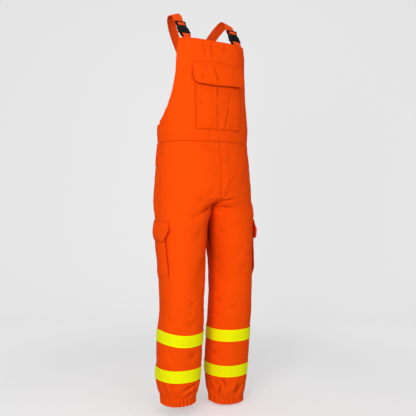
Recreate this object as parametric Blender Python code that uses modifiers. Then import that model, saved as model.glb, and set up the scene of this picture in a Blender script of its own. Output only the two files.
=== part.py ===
"""Bib overalls in high-visibility orange, worn form with no wearer inside.

Metres, +Z up. The front faces -Y and +X is the wearer's left. Heights below are measured up from the hems,
and one empty lowers the whole garment so that the origin lies between the two straps at the top of the
shoulders, where the wearer holds it up.

Every cloth panel is a wall between an outer surface and the same surface moved in by the cloth's thickness.
The outer surfaces come from two tables of cross-sections, one for the trunk and one for a leg. A column of a
panel is named by its turn: 0 is the centre front (or the inseam), 1 the side seam, 2 the centre back (or the
inseam again). What lies on a panel, such as a pocket or a band, takes its points from it and moves them out.
"""

import math
from collections import namedtuple

import bpy
from mathutils import Matrix, Vector

# ---------------------------------------------------------------- driving dimensions
SHOULDER_HEIGHT = 1.522  # top of the straps above the hems
BIB_TOP = 1.400
WAIST = 1.010  # seam between bib and trousers
WAISTBAND_TOP = 1.076  # at the back
ARMHOLE_FOOT = 1.104  # where the waistband's top edge meets the bib, at the side seam
CUFF_TOP = 0.030
CROTCH = 0.755  # where the four trouser panels meet
FRONT_FORK = 0.790  # top of the crotch curve, front and back
BACK_FORK = 0.815

CLOTH = 0.0016  # wall of the main cloth
TAPE = 0.0010  # wall of a sewn-on band
WEBBING = 0.0018
SEAM = 0.0003  # gap between neighbouring pieces
LAY = 0.0005  # gap under a piece that lies on another

FRONT_COLUMNS = 12  # columns of cloth from the inseam to the side seam, front and back
BACK_COLUMNS = 10

# ---------------------------------------------------------------- sections
Trunk = namedtuple("Trunk", "height half_width front back roundness")
TRUNK = (
    Trunk(0.700, 0.204, 0.150, 0.112, 2.5),
    Trunk(0.760, 0.205, 0.153, 0.112, 2.5),
    Trunk(0.830, 0.203, 0.154, 0.107, 2.4),
    Trunk(0.930, 0.196, 0.147, 0.103, 2.35),
    Trunk(1.010, 0.189, 0.140, 0.100, 2.3),
    Trunk(1.076, 0.190, 0.142, 0.102, 2.3),
    Trunk(1.200, 0.177, 0.142, 0.102, 2.3),
    Trunk(1.310, 0.176, 0.135, 0.100, 2.4),
    Trunk(1.400, 0.175, 0.108, 0.098, 2.9),
)

Leg = namedtuple("Leg", "height out forward half_width front back roundness")
LEG = (
    Leg(0.000, 0.1100, 0.002, 0.0680, 0.069, 0.069, 2.2),
    Leg(0.030, 0.1100, 0.003, 0.0715, 0.073, 0.073, 2.2),
    Leg(0.046, 0.1105, 0.003, 0.0780, 0.080, 0.080, 2.2),
    Leg(0.066, 0.1110, 0.003, 0.0835, 0.086, 0.085, 2.2),
    Leg(0.110, 0.1115, 0.005, 0.0860, 0.089, 0.088, 2.2),
    Leg(0.250, 0.1106, 0.020, 0.0865, 0.091, 0.091, 2.2),
    Leg(0.395, 0.1110, 0.036, 0.0845, 0.089, 0.090, 2.2),
    Leg(0.470, 0.1105, 0.036, 0.0850, 0.091, 0.092, 2.2),
    Leg(0.560, 0.1100, 0.035, 0.0875, 0.095, 0.097, 2.2),
    Leg(0.620, 0.1090, 0.032, 0.0920, 0.099, 0.104, 2.2),
    Leg(0.700, 0.1065, 0.026, 0.0980, 0.107, 0.111, 2.25),
    Leg(0.755, 0.1040, 0.024, 0.1040, 0.114, 0.116, 2.3),
    Leg(0.820, 0.1040, 0.024, 0.1040, 0.117, 0.118, 2.3),
)
HEM_DROP = {1: 0.038, -1: 0.006}  # the left ankle hangs lower than the right one
DROP_FROM = {1: 0.0785, -1: 0.0905}  # only the cloth below the lower band is drawn out

# Half the bib's width at its free edges, from the side seam up along the armhole to the top corner.
BibEdge = namedtuple("BibEdge", "height half_width")
BIB_EDGE = (
    BibEdge(1.104, 0.1866),
    BibEdge(1.112, 0.1855),
    BibEdge(1.125, 0.1836),
    BibEdge(1.145, 0.1795),
    BibEdge(1.176, 0.1725),
    BibEdge(1.205, 0.1660),
    BibEdge(1.250, 0.1605),
    BibEdge(1.320, 0.1560),
    BibEdge(1.400, 0.1480),
)

BackEdge = namedtuple("BackEdge", "height half_width")
BACK_EDGE = (
    BackEdge(1.076, 0.138),
    BackEdge(1.100, 0.118),
    BackEdge(1.140, 0.094),
    BackEdge(1.180, 0.077),
    BackEdge(1.250, 0.057),
    BackEdge(1.320, 0.047),
    BackEdge(1.390, 0.043),
)

# Levels of the trouser panels' rows: a level is the row's height at the side seam.
CROTCH_LEVEL = 0.715
FORK_LEVEL = 0.805
LEVEL_BELOW = 0.600  # rows lie level up to here, and rise towards the crotch above it


def smooth(share):
    share = min(max(share, 0.0), 1.0)
    return share * share * (3 - 2 * share)


def mix(low, high, share):
    return low + (high - low) * share


def section_at(table, height):
    """The table's row at a height, read from a smooth curve through the rows on either side."""
    height = min(max(height, table[0].height), table[-1].height)
    upper = next(i for i, row in enumerate(table) if row.height >= height)
    upper = max(upper, 1)
    rows = [table[min(max(i, 0), len(table) - 1)] for i in range(upper - 2, upper + 2)]
    span = rows[2].height - rows[1].height
    share = (height - rows[1].height) / span
    values = []
    for column in range(1, len(rows[0])):
        before, low, high, after = (row[column] for row in rows)
        low_slope = (high - before) / max(rows[2].height - rows[0].height, 1e-6) * span
        high_slope = (after - low) / max(rows[3].height - rows[1].height, 1e-6) * span
        values.append(
            low
            + share * low_slope
            + share**2 * (3 * (high - low) - 2 * low_slope - high_slope)
            + share**3 * (2 * (low - high) + low_slope + high_slope)
        )
    return type(rows[0])(height, *values)


def reach(along, across, length, width, roundness):
    """Distance from the centre of a rounded oval to its edge, in the direction (along, across)."""
    total = (abs(along) / length) ** roundness + (abs(across) / width) ** roundness
    return total ** (-1 / roundness)


def trunk_point(turn, height):
    """A point on the left half of the trunk: turn 0 is the centre front, 1 the side, 2 the centre back."""
    section = section_at(TRUNK, height)
    angle = turn * math.pi / 2
    depth = section.front if turn < 1 else section.back
    distance = reach(
        math.cos(angle), math.sin(angle), depth, section.half_width, section.roundness
    )
    return Vector((distance * math.sin(angle), -distance * math.cos(angle), height))


def leg_point(turn, height):
    """A point on the left leg: turn 0 is the inseam, 1 the side seam, 2 the inseam again."""
    section = section_at(LEG, height)
    angle = turn * math.pi
    depth = section.front if turn < 1 else section.back
    distance = reach(
        math.sin(angle), math.cos(angle), depth, section.half_width, section.roundness
    )
    x = max(section.out - distance * math.cos(angle), 0.0)
    return Vector((x, -section.forward - distance * math.sin(angle), height))


# ---------------------------------------------------------------- trouser surface
def blend_at(level):
    """0 where the row is a leg's loop, 1 where it is half the trunk."""
    return smooth((level - CROTCH_LEVEL) / (FORK_LEVEL - CROTCH_LEVEL))


def inner_height(level, fork):
    """Height of a row's inner end: up the inseam, along the crotch curve, then up the centre seam."""
    if level <= LEVEL_BELOW:
        return level
    if level <= CROTCH_LEVEL:
        share = (level - LEVEL_BELOW) / (CROTCH_LEVEL - LEVEL_BELOW)
        return mix(LEVEL_BELOW, CROTCH, 0.75 * share + 0.25 * share**2)
    if level <= FORK_LEVEL:
        return mix(CROTCH, fork, blend_at(level) ** 2)
    return mix(fork, WAIST, (level - FORK_LEVEL) / (WAIST - FORK_LEVEL))


Fold = namedtuple("Fold", "side turn_from level_from turn_to level_to width depth")
FOLDS = (  # side 1 is the wearer's left leg; a depth below 0 is a ridge
    Fold(-1, 0.10, 0.765, 0.50, 0.690, 0.016, 0.0050),
    Fold(-1, 0.12, 0.690, 0.30, 0.560, 0.026, 0.0045),
    Fold(1, 0.10, 0.775, 0.45, 0.760, 0.012, 0.0030),
    Fold(1, 0.08, 0.755, 0.45, 0.705, 0.013, 0.0030),
    Fold(-1, 0.16, 0.470, 0.22, 0.300, 0.028, 0.0040),
    Fold(1, 0.60, 0.500, 0.68, 0.330, 0.026, 0.0030),
    Fold(-1, 1.88, 0.745, 1.60, 0.660, 0.018, 0.0050),
    Fold(1, 1.88, 0.740, 1.62, 0.650, 0.018, 0.0050),
    Fold(-1, 1.50, 0.520, 1.42, 0.360, 0.026, 0.0040),
    Fold(1, 1.50, 0.500, 1.60, 0.340, 0.026, 0.0040),
)
TURN_LENGTH = 0.20  # metres of cloth in one turn of a leg, for measuring across a fold


def fold_depth(side, turn, level):
    """How far the largest folds sink the cloth here."""
    depth = 0.0
    for fold in FOLDS:
        if fold.side != side:
            continue
        start = Vector((fold.turn_from * TURN_LENGTH, fold.level_from))
        along = Vector((fold.turn_to * TURN_LENGTH, fold.level_to)) - start
        here = Vector((turn * TURN_LENGTH, level)) - start
        share = here.dot(along) / along.length_squared
        off = (here - along * share).length
        ends = smooth((share + 0.15) / 0.4) * smooth((1.15 - share) / 0.4)
        depth += fold.depth * ends * math.exp(-((off / fold.width) ** 2))
    return depth


def plain_trouser_point(turn, level):
    fork = FRONT_FORK if turn < 1 else BACK_FORK
    ease = math.sin(math.pi / 2 * (turn if turn < 1 else 2 - turn))
    height = mix(inner_height(level, fork), level, ease)
    blend = blend_at(level)
    if blend <= 0:
        return leg_point(turn, height)
    if blend >= 1:
        return trunk_point(turn, height)
    point = leg_point(turn, height).lerp(trunk_point(turn, height), blend)
    point.z = height
    return point


STEP = 0.002  # step along turn and level for measuring a slope


def normal_of(surface, turn, level):
    """Outward normal of a surface of (turn, level), for the left half of the garment."""
    across = surface(turn + STEP, level) - surface(turn - STEP, level)
    up = surface(turn, level + STEP) - surface(turn, level - STEP)
    return across.cross(up).normalized()


def trouser_normal(turn, level):
    inside = min(max(turn, STEP), 2 - STEP)
    normal = normal_of(plain_trouser_point, inside, level)
    at_inner_end = turn in (0, 2)
    if at_inner_end and level >= CROTCH_LEVEL:
        normal.x = 0 if level > FORK_LEVEL else min(normal.x, 0)
    if at_inner_end and level < CROTCH_LEVEL:
        normal.y = 0
    return normal.normalized()


def placed(point, side):
    """A point of the left leg's surface on the leg of this side, with that ankle's drop."""
    start = DROP_FROM[side]
    share = smooth((start - point.z) / (start - CUFF_TOP))
    return Vector((point.x * side, point.y, point.z - HEM_DROP[side] * share))


def trouser(side):
    """The outer surface of one leg as a function of turn and level that gives a point and its normal."""

    def surface(turn, level):
        normal = trouser_normal(turn, level)
        point = plain_trouser_point(turn, level) - normal * fold_depth(side, turn, level)
        return placed(point, side), normal * Vector((side, 1, 1))

    return surface


def turn_at(half_width, height):
    """The turn at which the trunk's front is this far from the middle."""
    low, high = 0.0, 1.0
    for _ in range(30):
        middle = (low + high) / 2
        if trunk_point(middle, height).x < half_width:
            low = middle
        else:
            high = middle
    return low


def trunk(turn, height):
    """The outer surface of the trunk: turn runs below 0 to the wearer's right."""
    side = -1 if turn < 0 else 1
    turn = abs(turn)
    normal = normal_of(trunk_point, min(max(turn, STEP), 2 - STEP), height)
    if turn in (0, 2):
        normal.x = 0
    flip = Vector((side, 1, 1))
    return trunk_point(turn, height) * flip, normal.normalized() * flip


# ---------------------------------------------------------------- making solids
def finish(name, vertices, faces, colour, roughness=0.75):
    mesh = bpy.data.meshes.new(name)
    mesh.from_pydata([tuple(v) for v in vertices], [], faces)
    mesh.validate()
    mesh.shade_smooth()
    mesh.set_sharp_from_angle(angle=math.radians(50))
    piece = bpy.data.objects.new(name, mesh)
    piece.parent = garment
    piece.data.materials.append(material(colour, roughness))
    parts.objects.link(piece)
    return piece


def wall(name, rows, thickness, colour, closed=False, mirrored=False):
    """A cloth wall from rows of (outer point, normal). A closed wall's rows run right round."""
    count = len(rows[0])
    outer = [point for row in rows for point, _ in row]
    inner = [point - normal * thickness for row in rows for point, normal in row]
    back = len(outer)
    faces = []

    def quad(a, b, c, d):
        faces.append((d, c, b, a) if mirrored else (a, b, c, d))

    for j in range(len(rows) - 1):
        for i in range(count if closed else count - 1):
            k = (i + 1) % count
            low, high = j * count, (j + 1) * count
            quad(low + i, low + k, high + k, high + i)
            quad(back + high + i, back + high + k, back + low + k, back + low + i)
    last = (len(rows) - 1) * count
    for i in range(count if closed else count - 1):
        k = (i + 1) % count
        quad(back + i, back + k, k, i)
        quad(last + i, last + k, back + last + k, back + last + i)
    if not closed:
        for j in range(len(rows) - 1):
            low, high = j * count, (j + 1) * count
            quad(back + low, low, high, back + high)
            right = count - 1
            quad(low + right, back + low + right, back + high + right, high + right)
    return finish(name, outer + inner, faces, colour)


def inset(rows, amount=SEAM / 2):
    """The same rows with every outer edge drawn back by half a seam's gap."""
    rows = [list(row) for row in rows]

    def draw(edge, neighbour):
        point, normal = edge
        return point + (neighbour[0] - point).normalized() * amount, normal

    for row in rows:
        row[0] = draw(row[0], row[1])
        row[-1] = draw(row[-1], row[-2])
    rows[0] = [draw(a, b) for a, b in zip(rows[0], rows[1])]
    rows[-1] = [draw(a, b) for a, b in zip(rows[-1], rows[-2])]
    return rows


def lifted(rows, lift):
    """Rows moved out along their normals by a distance, or by a function of (i share, j share)."""
    if not callable(lift):
        distance = lift

        def lift(across, up):
            return distance

    top = len(rows) - 1
    return [
        [
            (point + normal * lift(i / (len(row) - 1), j / top), normal)
            for i, (point, normal) in enumerate(row)
        ]
        for j, row in enumerate(rows)
    ]


# ---------------------------------------------------------------- materials
Colour = namedtuple("Colour", "name red green blue")
ORANGE = Colour("orange_twill", 0.93, 0.075, 0.003)
WEB_ORANGE = Colour("orange_webbing", 0.80, 0.07, 0.004)
YELLOW = Colour("yellow_tape", 0.87, 0.93, 0.01)
BLACK = Colour("black_plastic", 0.012, 0.011, 0.011)


def material(colour, roughness):
    made = bpy.data.materials.get(colour.name)
    if made:
        return made
    made = bpy.data.materials.new(colour.name)
    made.use_nodes = True
    shader = made.node_tree.nodes["Principled BSDF"]
    shader.inputs["Base Color"].default_value = (*colour[1:], 1)
    shader.inputs["Roughness"].default_value = roughness
    shader.inputs["Metallic"].default_value = 0.0
    return made


for old in list(bpy.data.objects):
    bpy.data.objects.remove(old)
parts = bpy.data.collections.new("bib_overalls")
bpy.context.scene.collection.children.link(parts)
garment = bpy.data.objects.new("garment", None)
garment.location.z = -SHOULDER_HEIGHT
parts.objects.link(garment)

# ---------------------------------------------------------------- trousers
LEG_LEVELS = [CUFF_TOP, 0.046, 0.064, 0.078, 0.1018, 0.1137, 0.137, 0.1815, 0.2265, 0.250, 0.2735]
LEG_LEVELS += [mix(0.2735, LEVEL_BELOW, i / 11) for i in range(1, 12)]
LEG_LEVELS += [mix(LEVEL_BELOW, CROTCH_LEVEL, i / 5) for i in range(1, 6)]
LEG_LEVELS += [mix(CROTCH_LEVEL, FORK_LEVEL, i / 6) for i in range(1, 7)]
LEG_LEVELS += [mix(FORK_LEVEL, WAIST, i / 6) for i in range(1, 7)]

FRONT_TURNS = [i / FRONT_COLUMNS for i in range(FRONT_COLUMNS + 1)]
BACK_TURNS = [1 + i / BACK_COLUMNS for i in range(BACK_COLUMNS + 1)]
SIDES = {"left": 1, "right": -1}


def grid(surface, turns, levels):
    return [[surface(turn, level) for turn in turns] for level in levels]


for word, side in SIDES.items():
    leg = trouser(side)
    for piece, turns in (("front", FRONT_TURNS), ("back", BACK_TURNS)):
        rows = inset(grid(leg, turns, LEG_LEVELS))
        wall(f"{word}_leg_{piece}", rows, CLOTH, ORANGE, mirrored=side < 0)

# ---------------------------------------------------------------- pieces that lie on the trousers
ALL_TURNS = FRONT_TURNS + BACK_TURNS[1:]


def bracket(values, value):
    """The two neighbours in a rising list that hold a value, and its share of the way between them."""
    upper = next((i for i, known in enumerate(values) if known >= value), len(values) - 1)
    low, high = values[max(upper, 1) - 1], values[max(upper, 1)]
    return low, high, (value - low) / (high - low)


def facets(surface, columns, levels):
    """The surface as the panel has it: straight between two of its columns and two of its rows."""

    def facet(turn, level):
        left, right, across = bracket(columns, turn)
        low, high, up = bracket(levels, level)
        corners = [surface(t, v) for v in (low, high) for t in (left, right)]
        place, facing = [
            corners[0][k].lerp(corners[1][k], across).lerp(corners[2][k].lerp(corners[3][k], across), up)
            for k in (0, 1)
        ]
        return place, facing.normalized()

    return facet


def patch(surface, columns, levels, span, bottom, top, steps, extra=()):
    """Rows over part of a panel, with every one of its columns and a lower edge that may rise and fall."""
    inside = [column for column in columns if span[0] + 0.005 < column < span[1] - 0.005]
    turns = sorted({*span, *inside, *extra})
    facet = facets(surface, columns, levels)
    return [
        [facet(turn, mix(bottom(turn), top, j / steps)) for turn in turns]
        for j in range(steps + 1)
    ]


# A band's edges, and how far it rises from its front to the inseam, the side seam and the back.
Band = namedtuple("Band", "name low high inseam side back")
BANDS = {
    1: (
        Band("lower_band", 0.0785, 0.1250, 0.000, 0.000, 0.000),
        Band("upper_band", 0.2245, 0.2715, 0.000, 0.000, 0.000),
    ),
    -1: (
        Band("lower_band", 0.0905, 0.1370, 0.000, 0.000, 0.000),
        Band("upper_band", 0.2265, 0.2735, 0.007, 0.013, 0.007),
    ),
}
GATHERS = 20  # round one ankle cuff
CUFF_COLUMNS = 3 * GATHERS
CUFF_RIPPLE = 0.0022

POCKET_SPAN = (FRONT_TURNS[-3], BACK_TURNS[4])
POCKET_BOTTOM = 0.482
POCKET_TOP = 0.692
POCKET_FULLNESS = 0.0045
FLAP_SPAN = (POCKET_SPAN[0] - 0.02, POCKET_SPAN[1] + 0.02)
FLAP_BOTTOM = 0.634
FLAP_TOP = 0.712
FLAP_CLIP = 0.026  # height of a flap's clipped lower corners
FLAP_CLIP_TURN = 0.06
FLAP_FLARE = 0.0090

FLY_SPAN = (0.005, 0.170)
FLY_BOTTOM = 0.826
FLY_TOP = 1.006
FLY_CURVE = 0.040
VENT_SPAN = (1.010, 1.130)
VENT_BOTTOM = 0.918
VENT_TOP = 1.006


def pocket_lift(across, up):
    """A cargo pocket is sewn down at its sides and foot and slack in the middle."""
    fullness = math.sin(math.pi * across) ** 0.5 * smooth(up / 0.3) * (1 - 0.7 * smooth(up / 0.5 - 1))
    return LAY + CLOTH + POCKET_FULLNESS * fullness


def flap_lift(across, up):
    return (LAY + CLOTH) * (1 + 2 * (1 - up) ** 0.35) + FLAP_FLARE * (1 - up) ** 2


def clipped_bottom(turn):
    corner = min(turn - FLAP_SPAN[0], FLAP_SPAN[1] - turn)
    return FLAP_BOTTOM + FLAP_CLIP * max(1 - corner / FLAP_CLIP_TURN, 0)


def fly_bottom(turn):
    share = (turn - FLY_SPAN[0]) / (FLY_SPAN[1] - FLY_SPAN[0])
    return FLY_BOTTOM + FLY_CURVE * (1 - math.sqrt(max(1 - share**2, 0)))


def band_rise(band, turn):
    """A band's rise here, eased between its four named places round the leg."""
    rises = (band.inseam, 0.0, band.side, band.back, band.inseam)
    quarter = min(int(turn * 2), 3)
    return mix(rises[quarter], rises[quarter + 1], smooth(turn * 2 - quarter))


def cuff_rows(side):
    """The gathered ankle casing, from the hem up: it ripples most at the hem."""
    flip = Vector((side, 1, 1))
    rows = []
    for share in (0.0, 0.35, 0.7, 1.0):
        row = []
        for i in range(CUFF_COLUMNS):
            turn = 2 * i / CUFF_COLUMNS
            height = share * (CUFF_TOP - SEAM)
            point = leg_point(turn, height)
            normal = Vector((point.x - LEG[0].out, point.y, 0)).normalized()
            puff = 0.0035 * math.sin(math.pi * share)
            ripple = CUFF_RIPPLE * (1 - share) * (1 if i % 3 else -2) / 2
            moved = point + normal * (puff + ripple)
            row.append((placed(moved, side), normal * flip))
        rows.append(row)
    return rows


for word, side in SIDES.items():
    leg = trouser(side)
    turned = side < 0
    wall(f"{word}_cuff", cuff_rows(side), CLOTH, ORANGE, closed=True, mirrored=turned)
    for band in BANDS[side]:
        rows = [
            [leg(turn, mix(band.low, band.high, share) + band_rise(band, turn)) for turn in ALL_TURNS[:-1]]
            for share in (0, 0.5, 1)
        ]
        rows = lifted(rows, LAY + TAPE)
        wall(f"{word}_{band.name}", rows, TAPE, YELLOW, closed=True, mirrored=turned)
    rows = patch(leg, ALL_TURNS, LEG_LEVELS, POCKET_SPAN, lambda turn: POCKET_BOTTOM, POCKET_TOP, 8)
    wall(f"{word}_cargo_pocket", lifted(rows, pocket_lift), CLOTH, ORANGE, mirrored=turned)
    corners = (FLAP_SPAN[0] + FLAP_CLIP_TURN, FLAP_SPAN[1] - FLAP_CLIP_TURN)
    rows = patch(leg, ALL_TURNS, LEG_LEVELS, FLAP_SPAN, clipped_bottom, FLAP_TOP, 4, corners)
    wall(f"{word}_cargo_flap", lifted(rows, flap_lift), CLOTH, ORANGE, mirrored=turned)
    rows = patch(leg, ALL_TURNS, LEG_LEVELS, VENT_SPAN, lambda turn: VENT_BOTTOM, VENT_TOP, 3)
    wall(f"{word}_side_vent", lifted(rows, LAY + CLOTH), CLOTH, ORANGE, mirrored=turned)

fly_turns = [mix(*FLY_SPAN, share) for share in (0.25, 0.65, 0.85, 0.95)]
rows = patch(trouser(1), ALL_TURNS, LEG_LEVELS, FLY_SPAN, fly_bottom, FLY_TOP, 5, fly_turns)
wall("fly_placket", lifted(rows, LAY + CLOTH), CLOTH, ORANGE)

# ---------------------------------------------------------------- bib, waistband and back
FLAT_HALF = 0.108  # half the part of the bib whose columns run straight up, under the pocket
FLAT_COLUMNS = 10
SIDE_COLUMNS = 3
BIB_HEIGHTS = [WAIST + SEAM, 1.043, 1.076, ARMHOLE_FOOT, 1.114, 1.130, 1.150, 1.180, 1.210, 1.240]
BIB_HEIGHTS += [1.270, 1.300, 1.330, 1.365, BIB_TOP]


def bib_turn(column, height):
    """The turn of a bib column: whole numbers from the middle, the outermost on the free edge."""
    half = FLAT_COLUMNS // 2
    flat = turn_at(FLAT_HALF * min(abs(column), half) / half, height)
    if abs(column) > half:
        edge = 1.0
        if height > ARMHOLE_FOOT:
            edge = turn_at(section_at(BIB_EDGE, height).half_width, height)
        flat = mix(flat, edge, (abs(column) - half) / SIDE_COLUMNS)
    return math.copysign(flat, column)


def bib(column, height):
    return trunk(bib_turn(column, height), height)


LAST_COLUMN = FLAT_COLUMNS // 2 + SIDE_COLUMNS
BIB_COLUMNS = list(range(-LAST_COLUMN, LAST_COLUMN + 1))
wall("bib_front", inset(grid(bib, BIB_COLUMNS, BIB_HEIGHTS)), CLOTH, ORANGE)

BIB_POCKET_HALF = 4.55  # in bib columns of 21.6 mm
BIB_POCKET_BOTTOM = 1.055
BIB_POCKET_TOP = 1.236
BIB_FLAP_HALF = 4.90
BIB_FLAP_BOTTOM = 1.222
BIB_FLAP_TOP = 1.306
BIB_FLAP_CORNER = 0.9
BIB_FLAP_ROUND = 0.022


def rounded_bottom(column):
    corner = max(abs(column) - (BIB_FLAP_HALF - BIB_FLAP_CORNER), 0) / BIB_FLAP_CORNER
    return BIB_FLAP_BOTTOM + BIB_FLAP_ROUND * (1 - math.sqrt(max(1 - corner**2, 0)))


def bib_flap_lift(across, up):
    return (LAY + CLOTH) * (1 + 2 * (1 - up) ** 0.35) + 0.0015 * (1 - up) ** 2


def bib_pocket_bottom(column):
    return BIB_POCKET_BOTTOM


span = (-BIB_POCKET_HALF, BIB_POCKET_HALF)
rows = patch(bib, BIB_COLUMNS, BIB_HEIGHTS, span, bib_pocket_bottom, BIB_POCKET_TOP, 6)
wall("bib_pocket", lifted(rows, LAY + CLOTH), CLOTH, ORANGE)
corner_columns = [
    sign * (BIB_FLAP_HALF - BIB_FLAP_CORNER * share) for sign in (-1, 1) for share in (0.12, 0.35, 0.65)
]
span = (-BIB_FLAP_HALF, BIB_FLAP_HALF)
rows = patch(bib, BIB_COLUMNS, BIB_HEIGHTS, span, rounded_bottom, BIB_FLAP_TOP, 4, corner_columns)
wall("bib_pocket_flap", lifted(rows, bib_flap_lift), CLOTH, ORANGE)

BAND_GATHERS = 14  # across the elastic back of the waist
BAND_COLUMNS = 4 * BAND_GATHERS
BAND_PUFF = 0.0045
BAND_RIPPLE = 0.0012
BAND_SWEEP = 0.16  # share of the band's length over which its top rises to the armhole


def back_turn(share):
    """Round the back from the left side seam, at 0, to the right one, at 1."""
    return 1 + 2 * share if share <= 0.5 else -(3 - 2 * share)


def band_lift(across, up):
    ends = smooth(across / 0.06) * smooth((1 - across) / 0.06)
    ripple = BAND_RIPPLE * math.cos(2 * math.pi * BAND_GATHERS * across)
    return ends * math.sin(math.pi * up) * (BAND_PUFF + ripple)


def band_top(across):
    """The waistband's top edge sweeps up at both ends into the armholes' curves."""
    near_end = max(1 - min(across, 1 - across) / BAND_SWEEP, 0)
    return mix(WAISTBAND_TOP, ARMHOLE_FOOT, near_end**2)


rows = []
for up in (0, 0.25, 0.5, 0.75, 1):
    shares = [i / BAND_COLUMNS for i in range(BAND_COLUMNS + 1)]
    rows.append([trunk(back_turn(share), mix(WAIST + SEAM, band_top(share), up)) for share in shares])
rows = lifted(inset(rows), band_lift)
wall("back_waistband", rows, CLOTH, ORANGE)

BACK_HALF_COLUMNS = 5


def back_yoke(column, height):
    """Rows of the tapered back panel, from its left edge to its right one."""
    half_width = section_at(BACK_EDGE, height).half_width
    section = section_at(TRUNK, height)
    x = half_width * column / BACK_HALF_COLUMNS
    y = section.back * (1 - (abs(x) / section.half_width) ** section.roundness) ** (1 / section.roundness)
    return Vector((x, y, height))


def back_surface(column, height):
    across = back_yoke(column - 0.01, height) - back_yoke(column + 0.01, height)
    up = back_yoke(column, height + 0.001) - back_yoke(column, height - 0.001)
    return back_yoke(column, height), across.cross(up).normalized()


YOKE_TOP = 1.388
yoke_columns = list(range(BACK_HALF_COLUMNS, -BACK_HALF_COLUMNS - 1, -1))
yoke_heights = [row.height + (SEAM if row.height == WAISTBAND_TOP else 0) for row in BACK_EDGE[:-1]]
rows = inset(grid(back_surface, yoke_columns, yoke_heights + [YOKE_TOP]))
wall("back_panel", rows, CLOTH, ORANGE)

# ---------------------------------------------------------------- straps and buckles
STRAP_WIDTH = 0.040
TAB_WIDTH = 0.030
Course = namedtuple("Course", "x y height out_x out_y out_z")
SHOULDER = (  # the middle of the left strap's outer face, from above the buckle over the shoulder to the back
    Course(0.1195, -0.0080, 1.5090, 0.20, -0.55, 0.80),
    Course(0.1215, 0.0220, 1.5210, 0.38, 0.00, 0.92),
    Course(0.1160, 0.0480, 1.5130, 0.42, 0.45, 0.78),
    Course(0.0980, 0.0720, 1.4830, 0.30, 0.80, 0.50),
    Course(0.0730, 0.0860, 1.4400, 0.12, 0.95, 0.28),
    Course(0.0480, 0.0930, 1.3950, 0.04, 0.99, 0.12),
    Course(0.0330, 0.0935, 1.3650, 0.00, 1.00, 0.05),
)
STRAP_PIECES = 3  # stretches of strap between two rows of the table

BUCKLE_FOOT = Vector((0.1135, -0.0765, 1.4120))  # middle of the buckle's lower end, left side
BUCKLE_HEAD = Vector((0.1180, -0.0330, 1.4790))
BUCKLE_DEPTH = 0.0080
BODY_TOP_WIDTH = 0.046
BODY_FOOT_WIDTH = 0.034
BODY_LENGTH = 0.052
BASE_WIDTH = 0.044
BASE_LENGTH = 0.024
WINDOW = (0.034, 0.0100)
WINDOW_RIM = 0.006


def course_at(table, share):
    """Point and outward direction at a share of the way along a table of rows, on a smooth curve."""
    place = share * (len(table) - 1)
    index = min(int(place), len(table) - 2)
    t = place - index
    rows = [Vector(table[min(max(index + k, 0), len(table) - 1)]) for k in (-1, 0, 1, 2)]
    before, low, high, after = rows
    value = (
        low * 2
        + (high - before) * t
        + (before * 2 - low * 5 + high * 4 - after) * t**2
        + (low * 3 - before - high * 3 + after) * t**3
    ) / 2
    return Vector(value[:3]), Vector(value[3:]).normalized()


def ribbon(name, side, table, width, pieces, colour=WEB_ORANGE):
    """A flat strap along a table's course, with its width square to the course and its outward direction."""
    count = (len(table) - 1) * pieces
    rows = []
    for i in range(count + 1):
        point, out = course_at(table, i / count)
        ahead = course_at(table, min(i / count + 0.004, 1))[0]
        behind = course_at(table, max(i / count - 0.004, 0))[0]
        along = (ahead - behind).normalized()
        across = along.cross(out).normalized()
        out = across.cross(along).normalized()
        flip = Vector((side, 1, 1))
        rows.append([((point + across * width * k) * flip, out * flip) for k in (0.5, 0.0, -0.5)])
    rows.reverse()
    return wall(name, rows, WEBBING, colour, mirrored=side < 0)


def turned_box(name, size, centre, turn_matrix):
    """A box of this size, centred here in the buckle's own directions."""
    bpy.ops.mesh.primitive_cube_add(size=1)
    box = bpy.context.active_object
    box.name = name
    for vertex in box.data.vertices:
        vertex.co = turn_matrix @ Vector([vertex.co[i] * size[i] for i in range(3)]) + centre
    for collection in list(box.users_collection):
        collection.objects.unlink(box)
    return box


def cut(piece, cutter):
    modifier = piece.modifiers.new("cut_" + cutter.name, "BOOLEAN")
    modifier.operation = "DIFFERENCE"
    modifier.object = cutter
    cutter.hide_render = True
    cutter.display_type = "WIRE"
    cutter.parent = garment
    cutters.objects.link(cutter)


def buckle_half(name, width, foot_width, length, start, window_low, side):
    """One half of a buckle, from its lower end upwards, with a slot for the webbing."""
    flip = Vector((side, 1, 1))
    up = ((BUCKLE_HEAD - BUCKLE_FOOT) * flip).normalized()
    across = Vector((side, 0, 0))
    across = (across - up * across.dot(up)).normalized()
    out = across.cross(up).normalized() * side
    frame = Matrix((out.cross(up), out, up)).transposed()
    middle = BUCKLE_FOOT * flip + up * (start + length / 2)
    piece = turned_box(name, (width, BUCKLE_DEPTH, length), middle, frame)
    for vertex in piece.data.vertices:
        along = (vertex.co - middle).dot(up)
        if along < 0:
            sideways = (vertex.co - middle).dot(across)
            vertex.co += across * sideways * (foot_width / width - 1)
    parts.objects.link(piece)
    piece.parent = garment
    piece.data.materials.append(material(BLACK, 0.35))
    bevel = piece.modifiers.new("rounded_edges", "BEVEL")
    bevel.width = 0.0022
    bevel.segments = 2
    size = (WINDOW[0] * width / BODY_TOP_WIDTH, 3 * BUCKLE_DEPTH, WINDOW[1])
    centre = middle + up * (window_low + WINDOW[1] / 2 - length / 2)
    cut(piece, turned_box(name + "_window", size, centre, frame))
    return piece


cutters = bpy.data.collections.new("cutters")
bpy.context.scene.collection.children.link(cutters)

BUCKLE_UP = (BUCKLE_HEAD - BUCKLE_FOOT).normalized()
BUCKLE_OUT = Vector((1, 0, 0)).cross(BUCKLE_UP).normalized()
BASE_BAR = 0.0065  # height of the bar that the tab folds round


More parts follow.
